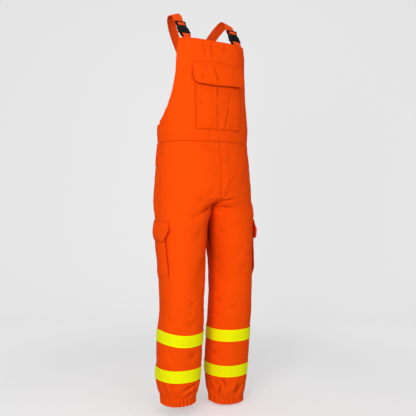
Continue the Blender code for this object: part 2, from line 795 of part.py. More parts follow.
def by_buckle(out, up, facing):
    """A course row beside the left buckle: distances out from its middle plane and up from its foot."""
    return Course(*(BUCKLE_FOOT + BUCKLE_OUT * out + BUCKLE_UP * up), *facing)


def above_bib(rise):
    """A course row over the bib's top edge, where the tab is sewn on."""
    point, _ = trunk(turn_at(BUCKLE_FOOT.x, BIB_TOP), BIB_TOP)
    return Course(point.x, point.y + CLOTH / 2, BIB_TOP + rise, *BUCKLE_OUT)


clear = BUCKLE_DEPTH / 2 + 2 * LAY + WEBBING
TAB = (
    above_bib(0.0018),
    by_buckle(clear + 0.0010, -0.004, BUCKLE_OUT),
    by_buckle(clear + 0.0005, 0.003, BUCKLE_OUT),
    by_buckle(clear * 0.8, BASE_BAR + 0.0024, BUCKLE_OUT + BUCKLE_UP * 0.8),
    by_buckle(0.0, BASE_BAR + 3 * LAY + WEBBING, BUCKLE_UP),
    by_buckle(-clear * 0.8, BASE_BAR + 0.0024, BUCKLE_UP * 0.8 - BUCKLE_OUT),
    by_buckle(-clear - 0.0005, 0.003, -BUCKLE_OUT),
    by_buckle(-clear - 0.0005, -0.005, -BUCKLE_OUT),
)
behind = BUCKLE_DEPTH / 2 + LAY
body_end = BASE_LENGTH + SEAM + BODY_LENGTH
STRAP = (
    by_buckle(-behind, body_end - WINDOW_RIM - WINDOW[1], BUCKLE_OUT),
    by_buckle(-behind, body_end + 0.003, BUCKLE_OUT),
    *SHOULDER,
)
for word, side in SIDES.items():
    ribbon(f"{word}_strap", side, STRAP, STRAP_WIDTH, STRAP_PIECES)
    ribbon(f"{word}_strap_tab", side, TAB, TAB_WIDTH, 2)
    buckle_half(f"{word}_buckle_base", BASE_WIDTH, BASE_WIDTH, BASE_LENGTH, 0.0, BASE_BAR, side)
    start = BASE_LENGTH + SEAM
    low = BODY_LENGTH - WINDOW_RIM - WINDOW[1]
    buckle_half(f"{word}_buckle_body", BODY_TOP_WIDTH, BODY_FOOT_WIDTH, BODY_LENGTH, start, low, side)
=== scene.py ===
# %% [markdown]
# # Bib overalls, dressed
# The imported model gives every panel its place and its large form. This lesson dresses it: each panel becomes
# a thin cloth shell on the same form with its creases, gathers, hems and stitches, and then come the
# materials, a pale floor, soft light and the camera. Lengths are in metres and the front faces -Y.
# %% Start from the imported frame
import math

import bpy
import numpy as np
from mathutils import Matrix, Vector


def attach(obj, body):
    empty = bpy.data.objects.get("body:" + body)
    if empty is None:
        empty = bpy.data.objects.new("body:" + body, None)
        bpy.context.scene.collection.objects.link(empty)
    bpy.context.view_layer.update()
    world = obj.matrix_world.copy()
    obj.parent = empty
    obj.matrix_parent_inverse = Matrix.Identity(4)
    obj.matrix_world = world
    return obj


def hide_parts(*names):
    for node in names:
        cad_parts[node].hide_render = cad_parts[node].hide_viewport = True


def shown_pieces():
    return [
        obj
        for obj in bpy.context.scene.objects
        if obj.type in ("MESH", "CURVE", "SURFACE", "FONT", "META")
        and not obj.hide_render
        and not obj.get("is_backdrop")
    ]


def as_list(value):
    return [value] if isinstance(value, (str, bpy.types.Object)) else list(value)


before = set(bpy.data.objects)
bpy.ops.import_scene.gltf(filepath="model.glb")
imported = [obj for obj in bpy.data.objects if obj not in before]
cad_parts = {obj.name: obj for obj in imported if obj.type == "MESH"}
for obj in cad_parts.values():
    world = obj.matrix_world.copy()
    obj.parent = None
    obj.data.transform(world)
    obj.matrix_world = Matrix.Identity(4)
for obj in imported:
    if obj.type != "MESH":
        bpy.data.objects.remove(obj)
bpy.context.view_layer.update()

# %% [markdown]
# ## The camera
# The garment is seen from its right front, level, from a little over two metres. The camera comes first,
# because everything after it is seen through it.
# %% Camera
SHOULDER = 1.522  # the frame's origin above the right hem
EYE_HEIGHT = 0.770
EYE_DISTANCE = 2.200
EYE_TURN = math.radians(-30)
EYE_SIDESTEP = 0.0243  # the garment stands a little left of the picture's middle
EYE_TILT = math.radians(-0.422)
FIELD_OF_VIEW = math.radians(41.92)

camera = bpy.data.objects.new("camera", bpy.data.cameras.new("camera"))
bpy.context.scene.collection.objects.link(camera)
sideways = Vector((math.cos(EYE_TURN), math.sin(EYE_TURN), 0))
backwards = Vector((math.sin(EYE_TURN), -math.cos(EYE_TURN), 0))
camera.location = backwards * EYE_DISTANCE + sideways * EYE_SIDESTEP
camera.location.z = EYE_HEIGHT - SHOULDER
camera.rotation_euler = (math.radians(90) + EYE_TILT, 0, EYE_TURN)
camera.data.angle = FIELD_OF_VIEW
bpy.context.scene.camera = camera
bpy.context.scene.view_settings.view_transform = "Standard"  # keeps the fluorescent colours bright
print("camera at", tuple(round(v, 3) for v in camera.location))

# %% [markdown]
# ## The form, as tables of sections
# The garment's form is two tubes of rounded oval sections: one for the trunk and one for a leg. Each panel is
# a patch of them. A place is named by its turn (0 at the centre front or the inseam, 1 at the side seam, 2 at
# the centre back or the inseam again) and its height above the right hem. The numbers are the solid model's.
# %% Sections of the trunk and the leg
TRUNK = np.array([  # height, half width, front depth, back depth, roundness
    (0.700, 0.204, 0.150, 0.112, 2.5), (0.760, 0.205, 0.153, 0.112, 2.5), (0.830, 0.203, 0.154, 0.107, 2.4),
    (0.930, 0.196, 0.147, 0.103, 2.35), (1.010, 0.189, 0.140, 0.100, 2.3), (1.076, 0.190, 0.142, 0.102, 2.3),
    (1.200, 0.177, 0.142, 0.102, 2.3), (1.310, 0.176, 0.135, 0.100, 2.4), (1.400, 0.175, 0.108, 0.098, 2.9),
])
LEG = np.array([  # height, distance out, distance forward, half width, front depth, back depth, roundness
    (0.000, 0.1100, 0.002, 0.0680, 0.069, 0.069, 2.2), (0.030, 0.1100, 0.003, 0.0715, 0.073, 0.073, 2.2),
    (0.046, 0.1105, 0.003, 0.0780, 0.080, 0.080, 2.2), (0.066, 0.1110, 0.003, 0.0835, 0.086, 0.085, 2.2),
    (0.110, 0.1115, 0.005, 0.0860, 0.089, 0.088, 2.2), (0.250, 0.1106, 0.020, 0.0865, 0.091, 0.091, 2.2),
    (0.395, 0.1110, 0.036, 0.0845, 0.089, 0.090, 2.2), (0.470, 0.1105, 0.036, 0.0850, 0.091, 0.092, 2.2),
    (0.560, 0.1100, 0.035, 0.0875, 0.095, 0.097, 2.2), (0.620, 0.1090, 0.032, 0.0920, 0.099, 0.104, 2.2),
    (0.700, 0.1065, 0.026, 0.0980, 0.107, 0.111, 2.25), (0.755, 0.1040, 0.024, 0.1040, 0.114, 0.116, 2.3),
    (0.820, 0.1040, 0.024, 0.1040, 0.117, 0.118, 2.3),
])
BIB_EDGE = np.array([  # height, half width
    (1.078, 0.1901), (1.090, 0.1892), (1.100, 0.1876), (1.112, 0.1853), (1.130, 0.1815), (1.146, 0.1770),
    (1.166, 0.1726), (1.184, 0.1682), (1.205, 0.1645), (1.240, 0.1604), (1.276, 0.1570), (1.320, 0.1555),
    (1.352, 0.1530), (1.390, 0.1483), (1.400, 0.1480),
])
BACK_EDGE = np.array([  # height, half width
    (1.076, 0.138), (1.100, 0.118), (1.140, 0.094), (1.180, 0.077), (1.250, 0.057), (1.320, 0.047),
    (1.390, 0.043),
])
CUFF_TOP, WAIST, WAISTBAND_TOP, ARMHOLE_FOOT, YOKE_TOP, BIB_TOP = 0.030, 1.010, 1.076, 1.080, 1.388, 1.400
CROTCH, FRONT_FORK, BACK_FORK = 0.755, 0.790, 0.815
CROTCH_LEVEL, FORK_LEVEL, LEVEL_BELOW = 0.715, 0.805, 0.600
HEM_DROP = {1: 0.038, -1: 0.006}  # how far each ankle hangs below its height in the tables
DROP_FROM = {1: 0.0785, -1: 0.0905}  # the height from which it drops
CLOTH, TAPE, WEBBING, LAY = 0.0016, 0.0010, 0.0018, 0.0005  # thicknesses, and the gap between two layers
HALF_SEAM = 0.00002  # half the gap left between two pieces that are sewn together
SIDES = {"left": 1, "right": -1}


def smooth(share):
    share = np.clip(share, 0.0, 1.0)
    return share * share * (3 - 2 * share)


def mix(low, high, share):
    return low + (high - low) * share


def line(distance, width):
    """1 on a line, fading to 0 within about this width on both sides of it."""
    return np.exp(-((distance / width) ** 2))


def rows_at(table, height):
    """The table's columns at each height, on a smooth curve through its rows."""
    known = table[:, 0]
    height = np.clip(height, known[0], known[-1])
    upper = np.clip(np.searchsorted(known, height), 1, len(known) - 1)
    before, low, high, after = (table[np.clip(upper + k, 0, len(known) - 1)] for k in (-2, -1, 0, 1))
    span = (high - low)[..., :1]
    t = (height[..., None] - low[..., :1]) / span
    low_slope = (high - before) / np.maximum((high - before)[..., :1], 1e-6) * span
    high_slope = (after - low) / np.maximum((after - low)[..., :1], 1e-6) * span
    values = low + t * low_slope + t**2 * (3 * (high - low) - 2 * low_slope - high_slope)
    values = values + t**3 * (2 * (low - high) + low_slope + high_slope)
    return [values[..., i] for i in range(1, table.shape[1])]


def reach(along, across, length, width, roundness):
    """Distance from the centre of a rounded oval to its edge, in the direction (along, across)."""
    total = (np.abs(along) / length) ** roundness + (np.abs(across) / width) ** roundness
    return total ** (-1 / roundness)


print("sections:", len(TRUNK), "of the trunk,", len(LEG), "of a leg")

# %% Points on the trunk, a leg and the trousers
def trunk_points(turn, height):
    half_width, front, back, roundness = rows_at(TRUNK, height)
    angle = turn * math.pi / 2
    depth = np.where(turn < 1, front, back)
    distance = reach(np.cos(angle), np.sin(angle), depth, half_width, roundness)
    return np.stack([distance * np.sin(angle), -distance * np.cos(angle), height], -1)


def leg_points(turn, height):
    out, forward, half_width, front, back, roundness = rows_at(LEG, height)
    angle = turn * math.pi
    depth = np.where(turn < 1, front, back)
    distance = reach(np.sin(angle), np.cos(angle), depth, half_width, roundness)
    x = np.maximum(out - distance * np.cos(angle), 0)
    return np.stack([x, -forward - distance * np.sin(angle), height], -1)


def blend_at(level):
    """0 where a row is a leg's loop, 1 where it is half the trunk."""
    return smooth((level - CROTCH_LEVEL) / (FORK_LEVEL - CROTCH_LEVEL))


def inner_height(level, fork):
    """Height of a row's inner end: up the inseam, along the crotch curve, then up the centre seam."""
    share = (level - LEVEL_BELOW) / (CROTCH_LEVEL - LEVEL_BELOW)
    rising = mix(LEVEL_BELOW, CROTCH, 0.75 * share + 0.25 * share**2)
    forking = mix(CROTCH, fork, blend_at(level) ** 2)
    above = mix(fork, WAIST, (level - FORK_LEVEL) / (WAIST - FORK_LEVEL))
    lower = np.where(level <= LEVEL_BELOW, level, rising)
    return np.where(level <= CROTCH_LEVEL, lower, np.where(level <= FORK_LEVEL, forking, above))


def plain_trousers(turn, level):
    """The trousers' form without folds: a leg below, half the trunk above, and the fork between."""
    fork = np.where(turn < 1, FRONT_FORK, BACK_FORK)
    ease = np.sin(math.pi / 2 * np.where(turn < 1, turn, 2 - turn))
    height = mix(inner_height(level, fork), level, ease)
    share = blend_at(level)[..., None]
    return leg_points(turn, height) * (1 - share) + trunk_points(turn, height) * share


STEP = 0.002  # step along turn and height for measuring a slope


def unit(vectors):
    return vectors / np.maximum(np.linalg.norm(vectors, axis=-1, keepdims=True), 1e-9)


def normals_of(surface, turn, height):
    """Directions that point out of a surface, from short steps along it."""
    across = surface(turn + STEP, height) - surface(turn - STEP, height)
    up = surface(turn, height + STEP) - surface(turn, height - STEP)
    return unit(np.cross(across, up))


def trouser_normals(turn, level):
    """The trousers' normals, which don't lean to either side where the left and right pieces meet."""
    normal = normals_of(plain_trousers, np.clip(turn, STEP, 2 - STEP), level)
    at_end = (turn <= 1e-6) | (turn >= 2 - 1e-6)
    high = at_end & (level >= CROTCH_LEVEL)
    at_centre = np.where(level > FORK_LEVEL, 0, np.minimum(normal[..., 0], 0))
    normal[..., 0] = np.where(high, at_centre, normal[..., 0])
    normal[..., 1] = np.where(at_end & (level < CROTCH_LEVEL), 0, normal[..., 1])
    return unit(normal)


grid_turn, grid_level = np.meshgrid(np.linspace(0, 1, 5), np.linspace(0.03, 1.01, 5))
print("front panel's highest point:", np.round(plain_trousers(grid_turn, grid_level)[-1, 2], 3))

# %% [markdown]
# ## Folds
# Cloth that is pulled from one point falls into folds that start narrow, widen and fade. Each row of a fold
# table is one of them: where it starts and ends on its panel, how wide and deep it is, and how far its line
# bows. The profile is a trough with a low ridge beside it, which is what makes it catch the light. A depth
# below zero turns it into a ridge. The folds of the near leg and of the crotch are placed as the photograph
# shows them, and the hidden sides have similar ones.
# %% Fold tables for the trousers
TURN_LENGTH = 0.20  # metres that one turn counts as, when a fold is measured across
FOLDS = {  # turn from, level from, turn to, level to, width, depth, bow
    -1: (
        (0.045, 0.781, 0.555, 0.703, 0.006, 0.0052, 0), (0.125, 0.84, 0.255, 0.798, 0.01, 0.0022, 0),
        (0.265, 0.809, 0.6, 0.728, 0.014, 0.0022, 0), (0.42, 0.669, 0.47, 0.61, 0.014, 0.003, 0),
        (0.3, 0.56, 0.445, 0.4, 0.022, 0.006, 0), (0.475, 0.401, 0.59, 0.351, 0.008, 0.0024, 0),
        (0.425, 0.622, 0.445, 0.575, 0.01, 0.0014, 0), (0.49, 0.371, 0.555, 0.334, 0.007, 0.002, 0),
        (0.745, 0.457, 0.545, 0.46, 0.006, 0.0012, 0), (0.35, 0.334, 0.605, 0.302, 0.014, 0.0024, 0),
        (0.915, 0.4, 1.085, 0.352, 0.008, 0.0018, 0), (0.845, 0.341, 0.765, 0.305, 0.009, 0.0018, 0),
        (0.935, 0.909, 0.49, 0.911, 0.007, -0.0012, 0), (0.745, 0.997, 0.8, 0.975, 0.006, 0.0016, 0),
        (0.93, 0.985, 0.96, 0.954, 0.008, 0.002, 0), (0.91, 0.87, 0.95, 0.84, 0.007, 0.0024, 0),
        (0.88, 0.786, 1, 0.755, 0.007, 0.002, 0), (0.81, 0.218, 0.745, 0.172, 0.01, 0.0022, 0),
        (0.385, 0.204, 0.55, 0.172, 0.012, 0.0024, 0), (0.92, 0.216, 0.83, 0.179, 0.008, 0.0018, 0),
        (0.1, 0.738, 0.6, 0.664, 0.022, -0.006, 0), (0.1, 0.785, 0.5, 0.748, 0.013, -0.0045, 0),
        (0.36, 0.076, 0.62, 0.046, 0.006, 0.0065, -0.006),
        (0.33, 0.049, 0.535, 0.029, 0.0055, 0.0059, -0.004), (0.65, 0.074, 0.755, 0.081, 0.005, 0.003, 0),
        (0.745, 0.078, 0.765, 0.035, 0.006, 0.0046, 0), (0.9, 0.088, 0.895, 0.049, 0.008, 0.0046, 0),
        (0.575, 0.037, 0.7, 0.027, 0.004, 0.0034, 0), (0.865, 0.037, 0.84, 0.022, 0.005, 0.003, 0),
        (0.15, 0.07, 0.2, 0.034, 0.006, 0.0049, 0), (1.88, 0.745, 1.6, 0.66, 0.018, 0.005, 0),
        (1.5, 0.52, 1.42, 0.36, 0.026, 0.004, 0), (1.86, 0.8, 1.52, 0.748, 0.01, 0.003, 0.005),
        (1.84, 0.7, 1.62, 0.6, 0.012, 0.003, 0), (1.3, 0.96, 1.55, 0.88, 0.01, 0.0018, 0.004),
        (1.2, 0.43, 1.48, 0.4, 0.009, 0.0022, 0.005), (1.6, 0.45, 1.36, 0.425, 0.008, 0.002, 0),
        (1.78, 0.39, 1.52, 0.35, 0.009, 0.0018, 0.004), (1.25, 0.21, 1.6, 0.16, 0.01, 0.0018, 0.004),
        (1.1, 0.08, 1.14, 0.04, 0.007, 0.0046, 0), (1.3, 0.078, 1.42, 0.042, 0.007, 0.0057, -0.004),
        (1.52, 0.074, 1.46, 0.038, 0.006, 0.0043, 0), (1.7, 0.07, 1.84, 0.042, 0.006, 0.0054, 0.004),
        (1.93, 0.066, 1.9, 0.036, 0.006, 0.0041, 0),
    ),
    1: (
        (0, 0.787, 0.15, 0.833, 0.006, 0.0028, 0), (0.015, 0.784, 0.365, 0.804, 0.006, 0.0036, 0.003),
        (0.155, 0.755, 0.385, 0.75, 0.005, 0.0036, 0), (0.18, 0.735, 0.285, 0.713, 0.006, 0.0042, 0),
        (0.285, 0.713, 0.445, 0.71, 0.006, 0.0024, 0), (0.25, 0.695, 0.385, 0.695, 0.006, 0.0028, 0),
        (0.19, 0.701, 0.285, 0.674, 0.007, 0.0024, 0), (0.19, 0.663, 0.29, 0.651, 0.008, 0.002, 0),
        (0.19, 0.685, 0.235, 0.641, 0.009, 0.0024, 0), (0.11, 0.841, 0.22, 0.884, 0.006, 0.0018, 0),
        (0.03, 0.433, 0.155, 0.413, 0.006, 0.0022, 0), (0.055, 0.401, 0.225, 0.376, 0.007, 0.0028, 0),
        (0.075, 0.337, 0.24, 0.324, 0.007, 0.0024, 0), (0.1, 0.555, 0.27, 0.502, 0.01, 0.0022, 0),
        (0.095, 0.514, 0.295, 0.447, 0.012, 0.003, 0), (0.575, 0.54, 0.495, 0.509, 0.006, 0.0022, 0),
        (0.505, 0.609, 0.405, 0.543, 0.01, 0.002, 0), (0.08, 0.185, 0.18, 0.162, 0.006, 0.0032, 0),
        (0.18, 0.158, 0.32, 0.137, 0.007, 0.002, 0), (0.44, 0.374, 0.305, 0.344, 0.012, 0.0022, 0),
        (0.08, 0.768, 0.42, 0.776, 0.016, -0.005, 0), (0.06, 0.056, 0.13, 0.03, 0.0055, 0.0057, 0),
        (0.25, 0.056, 0.165, 0.03, 0.0055, 0.0049, 0), (0.255, 0.071, 0.345, 0.046, 0.0055, 0.0059, -0.003),
        (0.535, 0.059, 0.405, 0.034, 0.006, 0.0059, -0.003), (0.6, 0.057, 0.5, 0.032, 0.0055, 0.0051, 0),
        (0.115, 0.064, 0.24, 0.062, 0.005, 0.002, 0), (0.76, 0.06, 0.8, 0.032, 0.006, 0.0049, 0),
        (0.92, 0.066, 0.9, 0.036, 0.006, 0.0041, 0), (1.88, 0.74, 1.62, 0.65, 0.018, 0.005, 0),
        (1.5, 0.5, 1.6, 0.34, 0.026, 0.004, 0), (1.86, 0.79, 1.5, 0.755, 0.01, 0.003, 0.005),
        (1.86, 0.69, 1.66, 0.59, 0.012, 0.0028, 0), (1.36, 0.95, 1.62, 0.875, 0.01, 0.0018, 0.004),
        (1.22, 0.41, 1.5, 0.44, 0.009, 0.0022, 0.005), (1.64, 0.43, 1.38, 0.395, 0.008, 0.002, 0),
        (1.8, 0.37, 1.54, 0.33, 0.009, 0.0018, 0.004), (1.2, 0.16, 1.56, 0.205, 0.01, 0.0018, 0.004),
        (1.12, 0.06, 1.2, 0.032, 0.007, 0.0049, 0), (1.34, 0.066, 1.28, 0.034, 0.006, 0.0046, 0),
        (1.48, 0.062, 1.62, 0.036, 0.007, 0.0057, -0.004), (1.72, 0.06, 1.7, 0.03, 0.006, 0.0043, 0),
        (1.86, 0.058, 1.94, 0.032, 0.006, 0.0049, 0),
    ),
}


print("folds on the trousers:", sum(len(table) for table in FOLDS.values()))

# %% The form of a fold
RIDGE, RIDGE_AT, RIDGE_WIDTH = 0.30, 1.8, 1.1  # share of a fold's depth, then place and width in fold widths


def fold_sum(across, up, folds):
    """How far a table of folds moves the cloth out at each place, given in metres across and up."""
    total = np.zeros(np.broadcast(across, up).shape)
    for from_a, from_u, to_a, to_u, width, depth, bow in folds:
        run = (to_a - from_a, to_u - from_u)
        length = math.hypot(*run)
        share = ((across - from_a) * run[0] + (up - from_u) * run[1]) / length**2
        off = ((across - from_a) * run[1] - (up - from_u) * run[0]) / length
        off = (off - bow * 4 * share * (1 - share)) / (width * (0.65 + 0.7 * np.clip(share, 0, 1)))
        ends = smooth((share + 0.12) / 0.3) * smooth((1.15 - share) / 0.65)
        total -= depth * ends * (line(off, 1) - RIDGE * line(off - RIDGE_AT, RIDGE_WIDTH))
    return total


def in_metres(folds):
    """A fold table with its turns made metres."""
    return [(a * TURN_LENGTH, u, b * TURN_LENGTH, v, *rest) for a, u, b, v, *rest in folds]


print("a fold's ridge is", RIDGE, "times its depth")

# %% [markdown]
# ## Slack, seams and gathers
# Between its folds, worn twill is never quite flat: it has a slack that changes over a hand's width. A seam
# pulls the cloth in, so that it lies in a shallow groove with small puckers beside it. At the ankles the
# elastic draws the cloth into gathers, and the cloth above them hangs over in loose folds of uneven size.
# %% Slack, seams and gathers
SLACK = 0.0012
EVEN_AT_SEAM = 0.015  # folds die out this close to the waist seam, so that both sides of it meet
SEAM_GROOVE, SEAM_REACH = 0.0011, 0.0035
LEG_TURN, WAIST_TURN = 0.27, 0.3  # metres in one turn beside a leg's seams, and along the waist seam
PUCKER, PUCKER_REACH, PUCKER_LENGTH = 0.0009, 0.014, 0.019
GATHERS, LOOSE_FOLDS = 28, 13
GATHER_AT_TOP, GATHER_AT_HEM, LOOSE_DEPTH = 0.0016, 0.0036, 0.0036
chance = np.random.default_rng(12)


def random_waves(count, widest_heading, shortest, longest):
    """Rows of heading, wave length, phase and size."""
    lows, highs = (0, shortest, 0, 0.5), (widest_heading, longest, 2 * math.pi, 1)
    return [tuple(chance.uniform(low, high) for low, high in zip(lows, highs)) for _ in range(count)]


WAVES = random_waves(14, 2 * math.pi, 0.07, 0.20)
RUMPLES = random_waves(12, math.pi, 0.024, 0.055)
RUMPLE, RUMPLE_BEND = 0.00032, 0.004


def slack(across, up, seed=0.0):
    """A gentle unevenness with waves 7 to 20 cm long, and small rumples in patches."""
    sums = []
    for table, bend in ((WAVES, 0.0), (RUMPLES, RUMPLE_BEND)):
        total = 0.0
        for heading, length, phase, size in table:
            along = across * math.cos(heading) + up * math.sin(heading)
            along = along + bend * np.sin(60 * up + 40 * across + phase)
            total = total + size * np.sin(2 * math.pi * along / length + phase + seed * (1 + phase))
        sums.append(total)
    patches = 0.6 + 0.4 * np.sin(9 * across + 7 * up + seed)
    return SLACK * sums[0] / 3 + RUMPLE * sums[1] / 2 * patches


def seam_pull(distance, along, seed=0.0):
    """A groove at a seam and the puckers beside it."""
    groove = -SEAM_GROOVE * line(distance, SEAM_REACH)
    uneven = along + 0.005 * np.sin(along * 47 + seed)
    ripple = np.sin(2 * math.pi * uneven / PUCKER_LENGTH + seed) * (0.6 + 0.4 * np.sin(along * 31 + 2 * seed))
    return groove + PUCKER * ripple * np.exp(-distance / PUCKER_REACH)


def gathers(turn, side):
    """Waves of uneven size round an ankle, from -1 to 1."""
    angle = turn * math.pi
    phase = GATHERS * angle + 0.9 * np.sin(3 * angle + side) + 0.5 * np.sin(7 * angle)
    return np.cos(phase) * (0.75 + 0.25 * np.sin(5 * angle + side))


def loose_folds(turn, level, side):
    """The folds that hang over the gathered ankle, from just below the lower band down to the elastic."""
    angle = turn * math.pi
    start = DROP_FROM[side] + 0.004
    down = np.clip((start - level) / start, 0, 1)
    phase = LOOSE_FOLDS * angle + 1.1 * np.sin(2 * angle + 1.3 * side) + 0.7 * np.sin(5 * angle) + 1.6 * down
    uneven = 0.65 + 0.35 * np.sin(3 * angle + 0.8 + side)
    ridge = np.abs(np.cos(phase / 2)) * 1.6 - 1.1
    return LOOSE_DEPTH * uneven * ridge * smooth(down * 2.6) * (1 - 0.8 * smooth(down * 2.6 - 1.3))


GATHER_REACH = 0.014  # how far the elastic's gathers run on above the cuff


def trouser_relief(side, turn, level):
    """How far the trousers' cloth stands out from the plain form."""
    across = turn * TURN_LENGTH
    to_end = np.minimum(turn, 2 - turn)
    free = smooth(to_end / 0.05) * smooth((WAIST - level) / EVEN_AT_SEAM)
    relief = free * (fold_sum(across, level, in_metres(FOLDS[side])) + slack(across, level, side))
    relief = relief + seam_pull(LEG_TURN * np.minimum(to_end, np.abs(turn - 1)), level, 1.0)
    relief = relief + seam_pull(np.clip(WAIST - level, 0, 1), turn * WAIST_TURN, 1.0)
    relief = relief + loose_folds(turn, level, side)
    near_cuff = np.clip((level - CUFF_TOP) / GATHER_REACH, 0, 1)
    return relief + GATHER_AT_TOP * gathers(turn, side) * (1 - near_cuff) ** 2


def trousers(side):
    """The outer surface of one leg and its half of the seat: points and normals at turns and levels."""

    def surface(turn, level, lift=0.0):
        normal = trouser_normals(turn, level)
        point = plain_trousers(turn, level) + normal * (trouser_relief(side, turn, level) + lift)[..., None]
        return on_side(point, normal, side)

    return surface


def on_side(point, normal, side):
    """Moves the left leg's points to the leg of this side, with that ankle's drop."""
    point = point.copy()
    point[..., 0] = np.maximum(point[..., 0], 2 * HALF_SEAM) * side
    start = DROP_FROM[side]
    point[..., 2] -= HEM_DROP[side] * smooth((start - point[..., 2]) / (start - CUFF_TOP))
    return point, normal * np.array([side, 1, 1])


print("gathers round an ankle:", GATHERS, "and loose folds above them:", LOOSE_FOLDS)

# %% [markdown]
# ## From rows of points to a shell of cloth
# A sheet is made from rows of points on its outer face. The inner face is the same points moved in by the
# cloth's thickness, with a rim round the edges, so that an open edge shows real cloth. Its UV map is the flat
# cut in metres: the twill follows the cloth round the body. Where an edge is hemmed, the shell is thicker.
# Each point also gets shade painted into its colour, kept as a point attribute, which is deepest at the foot
# of a crease: little light comes in there.
# %% The cloth maker
PIECES = {}
HOLLOW_DEPTH, CREASE_SHADE = 0.0026, 0.5  # a place this far under the cloth around it gets this much painted shade
SPREAD, RIM = 4, 3  # rows and columns that count as the cloth around, and that stay plain at an edge


def make_mesh(name, vertices, faces, material, uv=None):
    """One finished piece at the origin, with its flat places as a UV map."""
    mesh = bpy.data.meshes.new(name)
    mesh.from_pydata((vertices - (0, 0, SHOULDER)).tolist(), [], faces.tolist())
    if uv is not None:
        layer = mesh.uv_layers.new(name="flat")
        loops = np.empty(len(mesh.loops), np.int32)
        mesh.loops.foreach_get("vertex_index", loops)
        layer.data.foreach_set("uv", uv[loops].astype(np.float32).ravel())
    piece = bpy.data.objects.new(name, mesh)
    bpy.context.scene.collection.objects.link(piece)
    mesh.materials.append(material)
    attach(piece, "root")
    PIECES[name] = piece
    return piece


def select_only(piece):
    bpy.ops.object.select_all(action="DESELECT")
    piece.select_set(True)
    bpy.context.view_layer.objects.active = piece


def blurred(values, reach):
    """Values averaged over this many rows and columns on each side of a place."""
    for axis in (0, 1):
        many = values.shape[axis]
        first, last = np.take(values, [0] * reach, axis), np.take(values, [-1] * reach, axis)
        padded = np.concatenate([first, values, last], axis)
        steps = (np.take(padded, range(k, k + many), axis) for k in range(2 * reach + 1))
        values = sum(steps) / (2 * reach + 1)
    return values


def crease_shade_of(points, normals):
    """Painted shade by how deep a place lies under the cloth around it: 0 on a crest, most at the foot of a
    sharp crease.
    """
    deep = ((blurred(blurred(points, SPREAD), SPREAD) - points) * normals).sum(-1)
    inside = np.zeros(points.shape[:2])
    inside[RIM:-RIM, RIM:-RIM] = 1
    return CREASE_SHADE * np.clip(deep * inside / HOLLOW_DEPTH, 0, 1)


def cloth(name, surface, flat, material, thickness=CLOTH, mirrored=False, closed=False, pleat=0.0):
    """A shell from (points, normals) and the flat place of each point, all in rows.

    mirrored turns the faces over for the wearer's right, closed joins a tube's two ends, and the last argument
    is shade painted into the piece's colour besides that painted into its creases.
    """
    points, normals = surface
    rows, count = points.shape[:2]
    thickness = np.broadcast_to(thickness, (rows, count))[..., None]
    outer = points.reshape(-1, 3)
    inner = (points - normals * thickness).reshape(-1, 3)
    sign = -1 if outer[:, 0].mean() < 0 else 1
    if name.split("_")[0] in SIDES:
        inner[:, 0] = np.maximum(inner[:, 0] * sign, HALF_SEAM) * sign
    index = np.arange(rows * count).reshape(rows, count)
    a, b, c, d = index[:-1, :-1], index[:-1, 1:], index[1:, 1:], index[1:, :-1]
    front = np.stack([a, b, c, d], -1).reshape(-1, 4)
    far = rows * count
    faces = [front, front[:, ::-1] + far]
    edges = [index[0], index[-1][::-1]]
    if not closed:
        edges += [index[:, -1], index[:, 0][::-1]]
    for edge in edges:
        faces.append(np.stack([edge[:-1] + far, edge[1:] + far, edge[1:], edge[:-1]], -1))
    faces = np.concatenate(faces)
    if mirrored:
        faces = faces[:, ::-1]
    uv = np.concatenate([flat.reshape(-1, 2)] * 2)
    piece = make_mesh(name, np.concatenate([outer, inner]), faces, material, uv)
    # painted shade: the crease shade and the extra shade darken the cloth's colour, on both faces
    shade = piece.data.attributes.new("hollow", "FLOAT", "POINT")
    deep = np.maximum(crease_shade_of(points, normals), pleat)
    shade.data.foreach_set("value", np.tile(deep.ravel(), 2).astype(np.float32))
    if closed:
        select_only(piece)
        bpy.ops.object.mode_set(mode="EDIT")
        bpy.ops.mesh.select_all(action="SELECT")
        bpy.ops.mesh.remove_doubles(threshold=1e-5)
        bpy.ops.object.mode_set(mode="OBJECT")
    piece.data.shade_smooth()
    piece.data.set_sharp_from_angle(angle=math.radians(60))
    return piece


def grid_of(across, up):
    return np.meshgrid(np.asarray(across, float), np.asarray(up, float))


def inset(points):
    """Draws every edge back by half a seam, so that neighbours don't meet."""
    points = points.copy()
    for edge, beside in ((0, 1), (-1, -2)):
        points[edge] += unit(points[beside] - points[edge]) * HALF_SEAM
        points[:, edge] += unit(points[:, beside] - points[:, edge]) * HALF_SEAM
    return points


def stand_for(piece, node, flat, area, rests_on=()):
    """Hides that solid, which this piece is shown in place of. The flat's size is not used."""
    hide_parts(node)
    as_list(rests_on)


print("cloth is", CLOTH * 1000, "mm thick and tape", TAPE * 1000, "mm")

# %% [markdown]
# ## Materials
# Work twill is matt, with a fine diagonal weave, a little fuzz, small changes of colour where it has been
# handled, and shade painted into its creases as a deeper red. The weave is a procedural pattern on the flat
# UV map, used as bump. The band has a greener edge and a yellower middle. Webbing is ribbed along its length.
# %% Materials
ORANGE = (0.926, 0.074, 0.0018)
WEB_ORANGE = (0.800, 0.070, 0.006)
TAPE_MIDDLE = (0.875, 0.870, 0.002)
TAPE_EDGE = (0.870, 0.960, 0.0)
THREAD = (0.860, 0.060, 0.004)
TAPE_THREAD = (0.700, 0.740, 0.0)
BLACK = (0.006, 0.005, 0.005)
PAINTED_SHADE_TINT = (0.16, 0.08, 0.50)  # painted crease shade: what it leaves of the cloth's red, green and blue
# how much of the painted crease shade the twill takes
PAINTED_SHADE_SHARE = 0.8
RIB_SCALE = 0.314  # the wave texture's scale for ribs one metre apart
TAPE_SCALE = 20.0  # makes the tape's width about 1


print("the tape's edge is", TAPE_EDGE, "and its middle", TAPE_MIDDLE)

